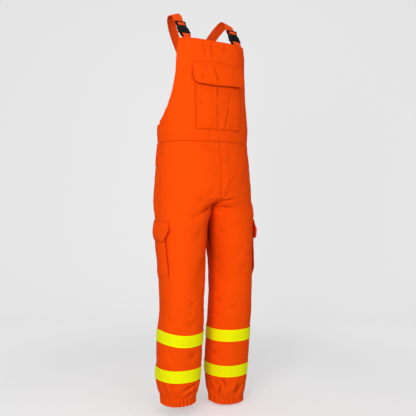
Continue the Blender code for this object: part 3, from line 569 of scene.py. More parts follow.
# %% Helpers for materials
def blank(name, colour, roughness, sheen=0.0):
    """A material of one colour. Cloth, which has a sheen, hardly mirrors."""
    made = bpy.data.materials.new(name)
    made.use_nodes = True
    shader = made.node_tree.nodes["Principled BSDF"]
    shader.inputs["Base Color"].default_value = (*colour, 1)
    shader.inputs["Roughness"].default_value = roughness
    shader.inputs["Sheen Weight"].default_value = sheen
    shader.inputs["Sheen Tint"].default_value = (*colour, 1)
    shader.inputs["Specular IOR Level"].default_value = 0.02 if sheen else 0.5
    shader.inputs["Sheen Roughness"].default_value = 0.4
    return made, made.node_tree, shader


def node(tree, kind, values=(), **settings):
    """A shader node whose inputs are values or other nodes' outputs."""
    made = tree.nodes.new("ShaderNode" + kind)
    for name, value in settings.items():
        setattr(made, name, value)
    for name, value in dict(values).items():
        if isinstance(value, bpy.types.NodeSocket):
            tree.links.new(value, made.inputs[name])
        else:
            made.inputs[name].default_value = value
    return made


def tinted_and_shaded(tree, shader, place, colour, scale, spread, hollow=0.0):
    """Lets the base colour drift a little over the piece, and paints shade into its creases by this share."""
    noise = node(tree, "TexNoise", {"Vector": place, "Scale": scale, "Detail": 3.0})
    dark = tuple(c * (1 - spread) for c in colour)
    light = tuple(min(c * (1 + spread), 1) for c in colour)
    tint = node(tree, "Mix", {"Factor": noise.outputs["Fac"]}, data_type="RGBA")
    tint.inputs["A"].default_value = (*dark, 1)
    tint.inputs["B"].default_value = (*light, 1)
    if hollow:
        # painted shade: the colour is mixed towards a dark red where the crease shade attribute is high
        shade = node(tree, "Attribute", attribute_name="hollow").outputs["Fac"]
        factor = node(tree, "Math", {0: shade, 1: hollow}, operation="MULTIPLY").outputs[0]
        crease_shade_mix = node(tree, "Mix", {"Factor": factor}, data_type="RGBA")
        crease_shade_mix.inputs["B"].default_value = (*(c * kept for c, kept in zip(colour, PAINTED_SHADE_TINT)), 1)
        tree.links.new(tint.outputs["Result"], crease_shade_mix.inputs["A"])
        tint = crease_shade_mix
    tree.links.new(tint.outputs["Result"], shader.inputs["Base Color"])


print("a crease keeps", PAINTED_SHADE_TINT, "of the cloth's colour")

# %% Cloth, tape, plastic and thread
def woven(name, colour, period, turn, depth, roughness=0.85, sheen=0.05, spread=0.04):
    """Cloth whose ribs lie at an angle to its length, with this much from one rib to the next."""
    made, tree, shader = blank(name, colour, roughness, sheen)
    flat = node(tree, "UVMap", uv_map="flat").outputs["UV"]
    # random drift of colour, and painted shade in the creases
    tinted_and_shaded(tree, shader, flat, colour, 9.0, spread, PAINTED_SHADE_SHARE)
    turned = node(tree, "Mapping", {"Vector": flat, "Rotation": (0, 0, turn)}).outputs["Vector"]
    ribs = node(tree, "TexWave", {"Vector": turned, "Scale": RIB_SCALE / period, "Distortion": 0.4})
    yarn = node(tree, "TexNoise", {"Vector": flat, "Scale": 1 / period, "Detail": 2.0})
    both = node(tree, "Math", {0: ribs.outputs["Fac"], 1: yarn.outputs["Fac"]}, operation="ADD")
    bump = node(tree, "Bump", {"Height": both.outputs["Value"], "Distance": depth, "Strength": 0.35})
    tree.links.new(bump.outputs["Normal"], shader.inputs["Normal"])
    return made


def taped(name):
    """Reflective tape: the UV map's second number runs across it, from 0 to its width."""
    made, tree, shader = blank(name, TAPE_MIDDLE, 0.55, 0.05)
    flat = node(tree, "UVMap", uv_map="flat").outputs["UV"]
    across = node(tree, "SeparateXYZ", {"Vector": flat}).outputs["Y"]
    share = node(tree, "Math", {0: across, 1: TAPE_SCALE}, operation="MULTIPLY").outputs[0]
    ramp = node(tree, "ValToRGB", {"Fac": share})
    stops = ramp.color_ramp.elements
    stops[0].position, stops[0].color = 0.10, (*TAPE_EDGE, 1)
    stops[1].position, stops[1].color = 0.17, (*TAPE_MIDDLE, 1)
    for place, colour in ((0.77, TAPE_MIDDLE), (0.84, TAPE_EDGE)):
        stop = stops.new(place)
        stop.color = (*colour, 1)
    tree.links.new(ramp.outputs["Color"], shader.inputs["Base Color"])
    cells = node(tree, "TexVoronoi", {"Vector": flat, "Scale": 700.0}, feature="DISTANCE_TO_EDGE")
    bump = node(tree, "Bump", {"Height": cells.outputs["Distance"], "Distance": 0.0002, "Strength": 0.15})
    tree.links.new(bump.outputs["Normal"], shader.inputs["Normal"])
    return made


def moulded(name):
    """Black plastic with a fine grain."""
    made, tree, shader = blank(name, BLACK, 0.55)
    shader.inputs["Specular IOR Level"].default_value = 0.05
    place = node(tree, "TexCoord").outputs["Object"]
    grain = node(tree, "TexNoise", {"Vector": place, "Scale": 900.0, "Detail": 2.0})
    rough = node(tree, "MapRange", {"Value": grain.outputs["Fac"], "To Min": 0.42, "To Max": 0.60})
    tree.links.new(rough.outputs["Result"], shader.inputs["Roughness"])
    bump = node(tree, "Bump", {"Height": grain.outputs["Fac"], "Distance": 0.0002, "Strength": 0.2})
    tree.links.new(bump.outputs["Normal"], shader.inputs["Normal"])
    return made


def thread(name, colour):
    """Sewing thread, whose tone changes from stitch to stitch."""
    made, tree, shader = blank(name, colour, 0.6, 0.1)
    place = node(tree, "TexCoord").outputs["Object"]
    tinted_and_shaded(tree, shader, place, colour, 300.0, 0.12)
    return made


twill = woven("orange_twill", ORANGE, 0.0012, math.radians(63), 0.0003)
webbing = woven("orange_webbing", WEB_ORANGE, 0.0022, 0.0, 0.0005, 0.7, 0.1)
tape = taped("yellow_tape")
plastic = moulded("black_plastic")
orange_thread = thread("orange_thread", THREAD)
yellow_thread = thread("yellow_thread", TAPE_THREAD)
print("materials:", [m.name for m in (twill, webbing, tape, plastic, orange_thread, yellow_thread)])

# %% [markdown]
# ## Stitches
# Hems and the edges of what is sewn on show their thread as rows of short raised stitches. One stitch is a
# small flattened box. A run of them follows a path on the cloth, at an even pitch, and all the runs of one
# piece make one object.
# %% The stitch maker
STITCH_PITCH, STITCH_LENGTH, STITCH_WIDTH, STITCH_HEIGHT = 0.0034, 0.0025, 0.0008, 0.0003
STITCH_SUNK, STITCH_TOP, BESIDE = 0.0002, 0.6, 0.0005  # its foot's depth, its top's share, a step beside it


def at_lengths(values, lengths, wanted):
    """The values, given at these lengths along a path, at the wanted ones."""
    return np.stack([np.interp(wanted, lengths, values[:, i]) for i in range(3)], -1)


def sewn(name, runs, material):
    """Stitches along paths, each given as (points, normals) in rows of one."""
    corners, faces = [], []
    box = np.array([(0, 3, 2, 1), (4, 5, 6, 7), (0, 1, 5, 4), (1, 2, 6, 5), (2, 3, 7, 6), (3, 0, 4, 7)])
    for points, normals in runs:
        points, normals = points.reshape(-1, 3), normals.reshape(-1, 3)
        lengths = np.concatenate([[0], np.cumsum(np.linalg.norm(np.diff(points, axis=0), axis=1))])
        at = np.arange(STITCH_PITCH / 2, lengths[-1], STITCH_PITCH)
        place = at_lengths(points, lengths, at)
        out = unit(at_lengths(normals, lengths, at))
        along = unit(at_lengths(points, lengths, at + BESIDE) - at_lengths(points, lengths, at - BESIDE))
        side = np.cross(along, out)
        for lift, tight in ((-STITCH_SUNK, 1.0), (STITCH_HEIGHT, STITCH_TOP)):
            for i, j in ((-1, -1), (1, -1), (1, 1), (-1, 1)):
                reach_out = along * i * STITCH_LENGTH / 2 * tight + side * j * STITCH_WIDTH / 2 * tight
                corners.append(place + reach_out + out * lift)
        first = sum(len(c) for c in corners[:-8])
        stitches = np.arange(len(at))[:, None, None]
        faces.append((first + box[None] * len(at) + stitches).reshape(-1, 4))
    piece = make_mesh(name, np.concatenate(corners), np.concatenate(faces), material)
    return piece


print("one stitch is", STITCH_LENGTH * 1000, "mm long")

# %% [markdown]
# ## Trousers
# Each leg has a front and a back panel that run from the ankle's elastic to the waist seam. They are drawn
# here with about 4 mm between points, which is fine enough for the smallest fold in the tables.
# %% Rows and columns of the trouser panels
PANEL_LEVELS = np.concatenate([
    np.linspace(CUFF_TOP, 0.100, 30)[:-1], np.linspace(0.100, LEVEL_BELOW, 125)[:-1],
    np.linspace(LEVEL_BELOW, FORK_LEVEL, 64)[:-1], np.linspace(FORK_LEVEL, WAIST, 52),
])
FINE_AT_SEAM = np.array([0.0, 0.008, 0.018, 0.030])
PANEL_SHARES = np.concatenate([FINE_AT_SEAM, np.linspace(0.045, 0.955, 80), 1 - FINE_AT_SEAM[::-1]])
PANEL_WIDTH = 0.275  # metres of cloth in one turn of a leg
LEG_CUTS = {"front": (0.0, 0.33, 1.02, 0.262), "back": (1.0, 0.36, 1.04, 0.275)}  # first turn, cut and area
print("one trouser panel:", len(PANEL_LEVELS), "rows of", len(PANEL_SHARES))

# %% Shade on the trouser panels
THIGH_REACH = (0.10, 0.17)  # turns beside the inseam that are in the dark, lower down and higher up
THIGH_SHARE = {1: 0.30, -1: 1.0}  # each side's share of them
THIGH_HEIGHTS, THIGH_FADES = (0.48, 0.780), (0.16, 0.02)  # where it starts and ends, and how softly
AROUND_REACH, AROUND_SHADE = 0.46, 0.30
AROUND_HEIGHTS, AROUND_FADES = (0.38, 0.715), (0.2, 0.05)
SEAM_SHADE, SEAM_LINE, CENTRE_SHADE, CENTRE_LINE = 0.60, 0.0040, 0.55, 0.010


def between(level, heights, fades):
    """1 between two heights, fading to 0 at both."""
    return smooth((level - heights[0]) / fades[0]) * smooth((heights[1] - level) / fades[1])


def thigh_shade(turn, level, side):
    """Shade between the thighs: dark beside the inseam and faint around it."""
    to_end = np.minimum(turn, 2 - turn)
    reach_out = mix(*THIGH_REACH, (level - LEVEL_BELOW) / 0.15) * THIGH_SHARE[side]
    dark = smooth(1.6 * (1 - to_end / reach_out))
    dark = dark * between(level, THIGH_HEIGHTS, THIGH_FADES)
    faint = AROUND_SHADE * smooth(1 - to_end / AROUND_REACH)
    return np.maximum(dark, faint * between(level, AROUND_HEIGHTS, AROUND_FADES))


def seam_shade(turn, level, side):
    """Shade in the front's waist seam and, on the wearer's right, beside the fly."""
    waist = SEAM_SHADE * line(WAIST - level, SEAM_LINE)
    fly = CENTRE_SHADE * line(turn, CENTRE_LINE) * smooth((level - FORK_LEVEL) / 0.02)
    return np.maximum(waist, fly) if side < 0 else waist


print("shade between the thighs from", *THIGH_HEIGHTS, "m")

# %% Trouser panels
def flat_places(turn, level):
    """Where a place lies on the flat cut of a leg."""
    return np.stack([turn * PANEL_WIDTH, level], -1)


for word, side in SIDES.items():
    leg = trousers(side)
    for panel, (first, width, length, area) in LEG_CUTS.items():
        turn, level = grid_of(first + PANEL_SHARES, PANEL_LEVELS)
        points, normals = leg(turn, level)
        name = f"{word}_leg_{panel}"
        shade = thigh_shade(turn, level, side)
        if panel == "front":
            shade = np.maximum(shade, seam_shade(turn, level, side))
        flat = flat_places(turn, level)
        piece = cloth(name + "_cloth", (inset(points), normals), flat, twill, mirrored=side < 0, pleat=shade)
        stand_for(piece, name, (width, length), area)
print("one trouser panel:", turn.size, "points")

# %% [markdown]
# ## Ankles and bands
# The ankle is a casing round elastic, stitched near its top. Its gathers run on into the panel above and
# deepen towards the hem, whose edge scallops unevenly. The bands lie on the legs, so they take the legs' own
# surface moved out by their thickness.
# %% Gathered cuffs
CUFF_LINE, CUFF_SEWN, CUFF_SEWN_WIDTH = 0.0008, 0.80, 0.07  # its stitched line: depth, share up, and width
HEM_SCALLOP, HEM_SAG = 0.0032, 0.0045  # the hem's waves, and how far it dips at the side seam
CUFF_CUT = (0.50, 0.033)


def cuff(side):
    """The casing's surface and flat places, from the hem up."""
    turn, share = grid_of(np.linspace(0, 2, GATHERS * 12 + 1), np.linspace(0, 1, 15))
    height = share * (CUFF_TOP - 2 * HALF_SEAM)
    ripple = gathers(turn, side)
    stitched = CUFF_LINE * line(share - CUFF_SEWN, CUFF_SEWN_WIDTH)
    relief = (GATHER_AT_HEM - GATHER_AT_TOP) * (1 - share) * ripple - stitched
    points, normals = trousers(side)(turn, height, relief)
    scallop = HEM_SCALLOP * ripple * (0.65 + 0.35 * np.sin(2.5 * math.pi * turn + 2 * side))
    points[..., 2] += (scallop - HEM_SAG * np.sin(turn * math.pi / 2) ** 2) * (1 - share)
    points[:, -1], normals[:, -1] = points[:, 0], normals[:, 0]
    return (points, normals), flat_places(turn, height)


for word, side in SIDES.items():
    surface, flat = cuff(side)
    piece = cloth(f"{word}_cuff_cloth", surface, flat, twill, mirrored=side < 0, closed=True)
    stand_for(piece, f"{word}_cuff", CUFF_CUT, None)
print("cuff hem scallops by", HEM_SCALLOP * 1000, "mm")

# %% Bands
LEVEL_BAND, BAND_ON_THE_SLANT = (0, 0, 0, 0), (0.007, 0, 0.013, 0.007)  # rises at four places round the leg
BANDS = {  # low and high edge, and the rise at the inseam, the front, the side seam and the back
    1: {"lower_band": (0.0785, 0.1250, LEVEL_BAND), "upper_band": (0.2245, 0.2715, LEVEL_BAND)},
    -1: {"lower_band": (0.0905, 0.1370, LEVEL_BAND), "upper_band": (0.2265, 0.2735, BAND_ON_THE_SLANT)},
}
BAND_EDGE = 0.0045  # from a band's edge to its row of stitches
BAND_LENGTH, BAND_PROUD = 0.56, 0.0004
BAND_SHARES = np.concatenate([[0, 0.03, 0.06], np.linspace(0.09, 0.91, 15), [0.94, 0.97, 1]])


def band_rise(rises, turn):
    """A band's rise, eased between its four named places round the leg."""
    rises = np.array([*rises, rises[0]])
    quarter = np.minimum((turn * 2).astype(int), 3)
    return mix(rises[quarter], rises[quarter + 1], smooth(turn * 2 - quarter))


def band_lift(up):
    """A band is tight at its two rows of stitches and a hair proud between and beyond them."""
    return LAY + TAPE + BAND_PROUD * (1 - line(up - 0.09, 0.03) - line(up - 0.91, 0.03))


for word, side in SIDES.items():
    leg = trousers(side)
    for name, (low, high, rises) in BANDS[side].items():
        turn, up = grid_of(np.linspace(0, 2, 145), BAND_SHARES)
        level = mix(low, high, up) + band_rise(rises, turn)
        surface = leg(turn, level, band_lift(up))
        flat = flat_places(turn, up * (high - low))
        piece = cloth(f"{word}_{name}_tape", surface, flat, tape, TAPE, mirrored=side < 0, closed=True)
        cut, under = (BAND_LENGTH, high - low), [f"{word}_leg_front_cloth"]
        stand_for(piece, f"{word}_{name}", cut, None, rests_on=under)
        runs = []
        for edge in (low + BAND_EDGE, high - BAND_EDGE):
            path = np.linspace(0, 2, 240)
            height = edge + band_rise(rises, path)
            runs.append(leg(path[None], height[None], np.full((1, len(path)), LAY + TAPE)))
        sewn(f"{word}_{name}_stitches", runs, yellow_thread)
print("bands:", list(BANDS[1]))

# %% [markdown]
# ## What lies on the trousers
# A cargo pocket is sewn down at its sides and foot, and a pleat at each side lets it stand a little full. Its
# flap is sewn along its top. The flap's front flares and swings forward at its clipped foot, and its rear is
# drawn in there. The fly's guard is sewn flat, and its topstitching curves in at the foot like a J. A small
# facing backs the slit at each hip.
# %% Places of the pockets, flaps, fly and hip facings
POCKET_TURNS, POCKET_HEIGHTS = (0.83333, 1.4), (0.482, 0.692)
FLAP_TURNS, FLAP_HEIGHTS = (0.81333, 1.42), (0.630, 0.705)
FLAP_CLIP, FLAP_CLIP_TURN, POCKET_SLANT = 0.040, 0.068, 0.25
POCKET_FULLNESS, FLAP_FLARE, FLAP_SLANT = 0.0075, 0.0080, 0.029
FLY_TURNS, FLY_HEIGHTS, FLY_CURVE = (0.005, 0.170), (0.826, 1.006), 0.040
VENT_TURNS, VENT_HEIGHTS = (1.010, 1.130), (0.918, 1.006)
TOP_SHADE, FOOT_SHADE = 0.26, 0.45  # in the creases above and below a flap
EDGE_ROLL = 0.0006  # a folded edge is a little thicker than the cloth beside it
SEWN_IN = 0.0055  # from a folded edge to its row of stitches
THREAD_LIFT = 0.0002
print("a cargo flap is", round((FLAP_TURNS[1] - FLAP_TURNS[0]) * PANEL_WIDTH, 3), "m wide")

# %% Folded edges
def edge_steps(count, close=0.012):
    """Shares from 0 to 1 that crowd a little at both ends."""
    return np.concatenate([[0, close / 2], np.linspace(close, 1 - close, count), [1 - close / 2, 1]])


def rolled(across, up, width, height):
    """The extra thickness of a folded edge, for shares over a piece of this size."""
    to_edge = np.minimum(np.minimum(across, 1 - across) * width, np.minimum(up, 1 - up) * height)
    return EDGE_ROLL * line(to_edge, 0.003) - 0.5 * EDGE_ROLL * line(to_edge - SEWN_IN, 0.0015)


print("a folded edge adds", EDGE_ROLL * 1000, "mm")

# %% The pleated cargo pocket
PLEAT = np.array([  # from the edge inwards, share of the pocket's fullness, shade
    (0.0100, 0.06, 1.0), (0.0095, 0.22, 1.0), (0.0060, 0.40, 1.0), (0.0012, 0.62, 0.7), (-0.0004, 0.82, 0.1),
    (0.0006, 0.95, 0.0), (0.0030, 1.0, 0.0),
])
PLEAT_STEP = 0.0004  # keeps the pleat's rows apart
FACE_FROM, FACE_SHARE = 0.045, 0.91  # the share of the pocket's width that its face starts at and takes up
SLANT_FROM = 0.54  # the height at which the slant moves nothing


def pocket_foot(up):
    """How full the pocket stands on its way up: nothing at its foot, and less under the flap."""
    return smooth(up / 0.14) * (1 - 0.45 * smooth(up / 0.5 - 1))


def pleated_pocket(surface):
    """The cargo pocket, whose sides tuck in under its face as pleats: its surface, flat places and shade."""
    steps = len(PLEAT)
    middle = np.linspace(0, 1, 42)[1:-1]
    plain = np.zeros(len(middle))
    edge = np.concatenate([PLEAT[:, 0], plain, PLEAT[::-1, 0]])
    full = np.concatenate([PLEAT[:, 1], 1 + 0.12 * np.sin(math.pi * middle), PLEAT[::-1, 1]])
    shaded = np.concatenate([PLEAT[:, 2], plain, PLEAT[::-1, 2]])
    index, up = np.meshgrid(np.arange(len(edge)), edge_steps(50, 0.02))
    from_edge = np.minimum(index, len(edge) - 1 - index)
    across = np.concatenate([np.zeros(steps), middle, np.ones(steps)])[index]
    foot = pocket_foot(up)
    inwards = (np.take(edge, index) * foot + PLEAT_STEP * from_edge) / PANEL_WIDTH
    pleated = from_edge < steps
    turn = mix(*POCKET_TURNS, np.where(pleated, across, FACE_FROM + FACE_SHARE * across))
    turn = turn + np.where(pleated, np.where(across < 0.5, inwards, -inwards), 0)
    level = mix(*POCKET_HEIGHTS, up)
    turn = turn + POCKET_SLANT * (level - SLANT_FROM) * np.maximum(1 - 2 * across, 0)
    sag = 0.0012 * np.sin(2 * math.pi * (1.6 * across + 0.4 * up)) * np.sin(math.pi * across) * (1 - up)
    rear = 1 - 0.5 * smooth((across - 0.2) / 0.4)
    lift = LAY + CLOTH + POCKET_FULLNESS * np.take(full, index) * foot * rear + sag
    under_flap = FOOT_SHADE * line(clipped_bottom(turn) - level - 0.0015, 0.0045)
    shade = np.maximum(np.take(shaded, index) * smooth(up / 0.1), under_flap)
    return surface(turn, level, lift), flat_places(turn, level), shade


def pocket_lift(across, up):
    return LAY + CLOTH + POCKET_FULLNESS * pocket_foot(up)


print("the cargo pocket's pleats have", len(PLEAT), "columns each")

# %% The form of a cargo flap
def flap_gap(up):
    """A flap lies on the cloth at its top and clears the pocket under it at its foot."""
    return (LAY + CLOTH) * (1 + 2 * (1 - up) ** 0.35)


def flap_lift(across, up):
    """The flap's front flares at its foot, and its rear bulges and is drawn in there."""
    flare = FLAP_FLARE * (1 - up) ** 2 * (1 + 0.25 * np.sin(2 * math.pi * (across + 0.15)))
    bulge = 0.9 * FLAP_FLARE * np.sin(math.pi * np.clip(up, 0, 1) ** 0.7)
    return flap_gap(up) + mix(flare, bulge, smooth((across - 0.15) / 0.25))


def flap_forward(across, up):
    """How far the flap's front edge swings forward towards its foot, in turns."""
    return (FLAP_SLANT * (1 - up) + 0.008) * np.maximum(1 - 3 * across, 0)


def clipped_bottom(turn):
    """The height of the flap's lower edge, whose corners are cut off."""
    corner = np.minimum(turn - FLAP_TURNS[0], FLAP_TURNS[1] - turn)
    return FLAP_HEIGHTS[0] + FLAP_CLIP * np.maximum(1 - corner / FLAP_CLIP_TURN, 0)


print("the flap's front corner swings forward", round((FLAP_SLANT + 0.008) * PANEL_WIDTH, 3), "m")

# %% A piece laid on the trousers, and its stitches
def no_swing(across, up):
    return 0.0


def laid_on(surface, ends, bottom, top, counts, lift, width, forward=no_swing):
    """A piece on a panel between two turns, from its lower edge up: its surface and its flat places."""
    across, up = grid_of(edge_steps(counts[0]), edge_steps(counts[1], 0.02))
    turn = mix(*ends, across)
    low = bottom(turn) if callable(bottom) else bottom
    level = mix(low, top, up)
    turn = turn - forward(across, up)
    roll = rolled(across, up, width, float(np.max(top - low)))
    return surface(turn, level, lift(across, up) + roll), flat_places(turn, level)


def flat_lift(across, up):
    return np.full(across.shape, LAY + CLOTH)


def along_edge(side, low, high):
    """Heights along an edge: b is the foot, t the top, and l and r are the sides, from foot to top."""
    if side == "b":
        return low
    return np.full(len(low), high) if side == "t" else mix(low[0], high, np.linspace(0, 1, len(low)))


def outline_run(surface, ends, bottom, top, lift, sides, shrink, forward=no_swing, count=60):
    """Paths a stitch's margin inside a laid-on piece's edges. sides names them: l, r, b or t."""
    runs = []
    in_share = shrink / ((ends[1] - ends[0]) * PANEL_WIDTH)
    share = np.linspace(in_share, 1 - in_share, count)
    for side in sides:
        across = share if side in "bt" else np.full(count, in_share if side == "l" else 1 - in_share)
        turn = mix(*ends, across)
        low = (bottom(turn) if callable(bottom) else np.full(count, bottom)) + shrink
        level = along_edge(side, low, top - shrink)
        base = low - shrink
        up = (level - base) / (top - base)
        turn = turn - forward(across, up)
        runs.append(surface(turn[None], level[None], (lift(across, up) + THREAD_LIFT)[None]))
    return runs


def laid_piece(word, name, made, shade, cut, runs):
    """One finished piece on a leg, with its stitches."""
    piece = cloth(f"{word}_{name}_cloth", *made, twill, mirrored=SIDES[word] < 0, pleat=shade)
    stand_for(piece, f"{word}_{name}", cut, None)
    sewn(f"{word}_{name}_stitches", runs, orange_thread)


print("stitches lie", SEWN_IN * 1000, "mm inside a folded edge")

# %% Cargo pockets, their flaps and the hip facings
for word in SIDES:
    leg = trousers(SIDES[word])
    *made, shade = pleated_pocket(leg)
    runs = outline_run(leg, POCKET_TURNS, *POCKET_HEIGHTS, pocket_lift, "lrb", SEWN_IN)
    laid_piece(word, "cargo_pocket", made, shade, (0.165, 0.215), runs)

    place = (leg, FLAP_TURNS, clipped_bottom, FLAP_HEIGHTS[1])
    made = laid_on(*place, (44, 20), flap_lift, 0.167, flap_forward)
    shade = TOP_SHADE * line(FLAP_HEIGHTS[1] - made[1][..., 1], 0.0035)
    runs = outline_run(*place, flap_lift, "lrbt", SEWN_IN, flap_forward)
    runs += outline_run(*place, flap_lift, "t", 2 * SEWN_IN, flap_forward)
    laid_piece(word, "cargo_flap", made, shade, (0.185, 0.085), runs)

    place = (leg, VENT_TURNS, *VENT_HEIGHTS)
    made = laid_on(*place, (8, 24), flat_lift, 0.033)
    runs = outline_run(*place, flat_lift, "lrb", SEWN_IN)
    laid_piece(word, "side_vent", made, 0.0, (0.034, 0.090), runs)
print("pieces so far:", len(PIECES))

# %% Fly
FLY_MARGINS = (0.030, 0.048)  # turns from the fly's free edge to its two rows of stitches
FLY_ROW_STEPS = (40, 60)  # places along the curve at the foot and along the upright part


def fly_bottom(turn):
    """The height of the fly's foot, which curves up to its free edge."""
    share = (turn - FLY_TURNS[0]) / (FLY_TURNS[1] - FLY_TURNS[0])
    return FLY_HEIGHTS[0] + FLY_CURVE * (1 - np.sqrt(np.maximum(1 - share**2, 0)))


surface, flat = laid_on(trousers(1), FLY_TURNS, fly_bottom, FLY_HEIGHTS[1], (16, 50), flat_lift, 0.045)
piece = cloth("fly_placket_cloth", surface, flat, twill)
stand_for(piece, "fly_placket", (0.045, 0.182), 0.0078)
fly_runs = []
for margin in FLY_MARGINS:
    turn = np.linspace(FLY_TURNS[0] + 0.002, FLY_TURNS[1] - margin, FLY_ROW_STEPS[0])
    low = fly_bottom(turn + margin - 0.012) + 0.004
    path_turn = np.concatenate([turn, np.full(FLY_ROW_STEPS[1], turn[-1])])
    path_level = np.concatenate([low, np.linspace(low[-1], FLY_HEIGHTS[1] - 0.002, FLY_ROW_STEPS[1])])
    lift = np.full(path_turn.shape, LAY + CLOTH + THREAD_LIFT)
    fly_runs.append(trousers(1)(path_turn[None], path_level[None], lift[None]))
sewn("fly_stitches", fly_runs, orange_thread)
print("pieces so far:", len(PIECES))

# %% [markdown]
# ## The bib
# The bib is one panel from the waist seam to its straight top edge, cut away in a curve under each arm. Its
# columns run straight up under the pocket and fan out to the free edges. The photograph shows long soft
# creases down from the top edge and the pocket, and short ones where the straps pull.
# %% Folds of the bib
BIB_FOLDS = (  # columns in metres from the middle, and heights
    (-0.099, 1.39, -0.086, 1.313, 0.0045, 0.0014, 0), (-0.059, 1.379, -0.052, 1.311, 0.007, 0.002, 0),
    (-0.027, 1.388, -0.021, 1.311, 0.005, 0.0024, 0), (-0.025, 1.294, -0.005, 1.224, 0.0048, 0.003, 0.002),
    (-0.011, 1.216, -0.011, 1.172, 0.005, 0.0036, 0), (-0.015, 1.151, -0.001, 1.091, 0.006, 0.0022, 0),
    (0.048, 1.207, 0.039, 1.148, 0.005, 0.0018, 0), (0.041, 1.148, 0.017, 1.031, 0.0048, 0.0028, 0),
    (0.096, 1.396, 0.147, 1.341, 0.006, 0.0038, 0), (-0.062, 1.292, -0.051, 1.27, 0.006, 0.0018, 0),
    (-0.073, 1.26, -0.07, 1.237, 0.006, 0.002, 0), (0.07, 1.301, 0.062, 1.251, 0.006, 0.0016, 0),
    (-0.112, 1.13, -0.114, 1.096, 0.005, 0.0018, 0), (-0.093, 1.206, -0.104, 1.146, 0.009, 0.0018, 0),
    (-0.152, 1.074, -0.164, 1.023, 0.005, 0.0024, 0), (-0.019, 1.12, -0.005, 1.037, 0.005, 0.0016, 0),
    (-0.15, 1.374, -0.113, 1.35, 0.012, 0.0024, 0), (-0.143, 1.191, -0.153, 1.118, 0.012, 0.0018, 0),
    (-0.126, 1.13, -0.135, 1.033, 0.01, 0.002, 0), (-0.048, 1.057, -0.043, 1.024, 0.006, 0.0014, 0),
    (-0.071, 1.193, -0.083, 1.123, 0.008, 0.0014, 0), (0.041, 1.395, 0.027, 1.343, 0.007, 0.0016, 0),
    (-0.123, 1.18, -0.133, 1.116, 0.01, 0.0016, 0), (0.017, 1.062, -0.001, 1.022, 0.0045, 0.0014, 0),
    (0.126, 1.3, 0.122, 1.2, 0.012, 0.002, 0.004),
    (-0.15, 1.036, -0.01, 1.04, 0.0065, -0.0016, 0),
)
print("folds on the bib:", len(BIB_FOLDS))

# %% Bib surface
FLAT_HALF, FLAT_COLUMNS, SIDE_COLUMNS = 0.108, 5, 3
COLUMN = FLAT_HALF / FLAT_COLUMNS  # metres from one upright column to the next
LAST_COLUMN = FLAT_COLUMNS + SIDE_COLUMNS
BIB_HEM = 0.024


def turn_at(half_width, height):
    """The turn at which the trunk's front is this far from the middle."""
    low, high = np.zeros_like(height), np.ones_like(height)
    for _ in range(26):
        middle = (low + high) / 2
        inside = trunk_points(middle, height)[..., 0] < half_width
        low, high = np.where(inside, middle, low), np.where(inside, high, middle)
    return low


def bib_turn(column, height):
    """The turn of a column: upright ones in the middle, then ones that fan out to the free edge."""
    size = np.abs(column)
    flat = turn_at(FLAT_HALF * np.minimum(size, FLAT_COLUMNS) / FLAT_COLUMNS, height)
    edge = np.where(height > ARMHOLE_FOOT, turn_at(rows_at(BIB_EDGE, height)[0], height), 1.0)
    return mix(flat, edge, np.clip((size - FLAT_COLUMNS) / SIDE_COLUMNS, 0, 1)) * np.sign(column)


def trunk_surface(turn, height, lift=0.0):
    """The trunk's outer surface at turns that run below 0 to the wearer's right."""
    side = np.where(turn < 0, -1.0, 1.0)
    size = np.abs(turn)
    normal = normals_of(trunk_points, np.clip(size, STEP, 2 - STEP), height)
    normal[..., 0] = np.where((size < 1e-6) | (size > 2 - 1e-6), 0, normal[..., 0]) * side
    normal = unit(normal)
    point = trunk_points(size, height)
    point[..., 0] *= side
    return point + normal * np.broadcast_to(lift, size.shape)[..., None], normal


def bib(column, height, lift=0.0):
    """The bib's outer surface, with its folds, seams and hem."""
    across = column * COLUMN
    turn = bib_turn(column, height)
    relief = fold_sum(across, height, BIB_FOLDS) + 0.8 * slack(across, height, 2.0)
    relief = relief * smooth((height - WAIST) / EVEN_AT_SEAM)
    relief = relief + seam_pull(np.clip(height - WAIST, 0, 1), np.abs(turn) * WAIST_TURN, 1.0)
    to_edge = (LAST_COLUMN - np.abs(column)) * COLUMN
    high = height > ARMHOLE_FOOT
    relief = relief + np.where(high, seam_pull(np.abs(to_edge - SEWN_IN), height, 3.0) * 0.5, 0)
    relief = relief + 0.6 * seam_pull(np.abs(BIB_TOP - BIB_HEM - height), across, 4.0)
    relief = relief + EDGE_ROLL * smooth((height - BIB_TOP + BIB_HEM) / 0.003)
    return trunk_surface(turn, height, relief + lift)


print("the bib's columns run from", -LAST_COLUMN, "to", LAST_COLUMN)

# %% Shade round the bib's pocket and flap
POCKET_COLUMNS, BIB_POCKET_HEIGHTS = (-4.55, 4.55), (1.055, 1.236)
BIB_FLAP_COLUMNS, BIB_FLAP_HEIGHTS = (-4.90, 4.90), (1.222, 1.306)
FLAP_CORNER, FLAP_ROUND, FLAP_SAG = 1.15, 0.030, 0.0050
UNDER_SHADE, CORNER_SHADE, EDGE_SHADE = 0.95, 0.8, 0.42  # under the flap, at its corners, round the pocket
RAISED = 0.0003  # how far a row of stitches lies above the bib or a strap


def rounded_bottom(column):
    """The height of the bib flap's lower edge, which sags in the middle and has round corners."""
    corner = np.maximum(np.abs(column) - (BIB_FLAP_COLUMNS[1] - FLAP_CORNER), 0) / FLAP_CORNER
    share = np.clip((column - BIB_FLAP_COLUMNS[0]) / (BIB_FLAP_COLUMNS[1] - BIB_FLAP_COLUMNS[0]), 0, 1)
    sag = FLAP_SAG * np.sin(math.pi * share**0.8) ** 2
    return BIB_FLAP_HEIGHTS[0] + 0.002 - sag + FLAP_ROUND * (1 - np.sqrt(np.maximum(1 - corner**2, 0)))


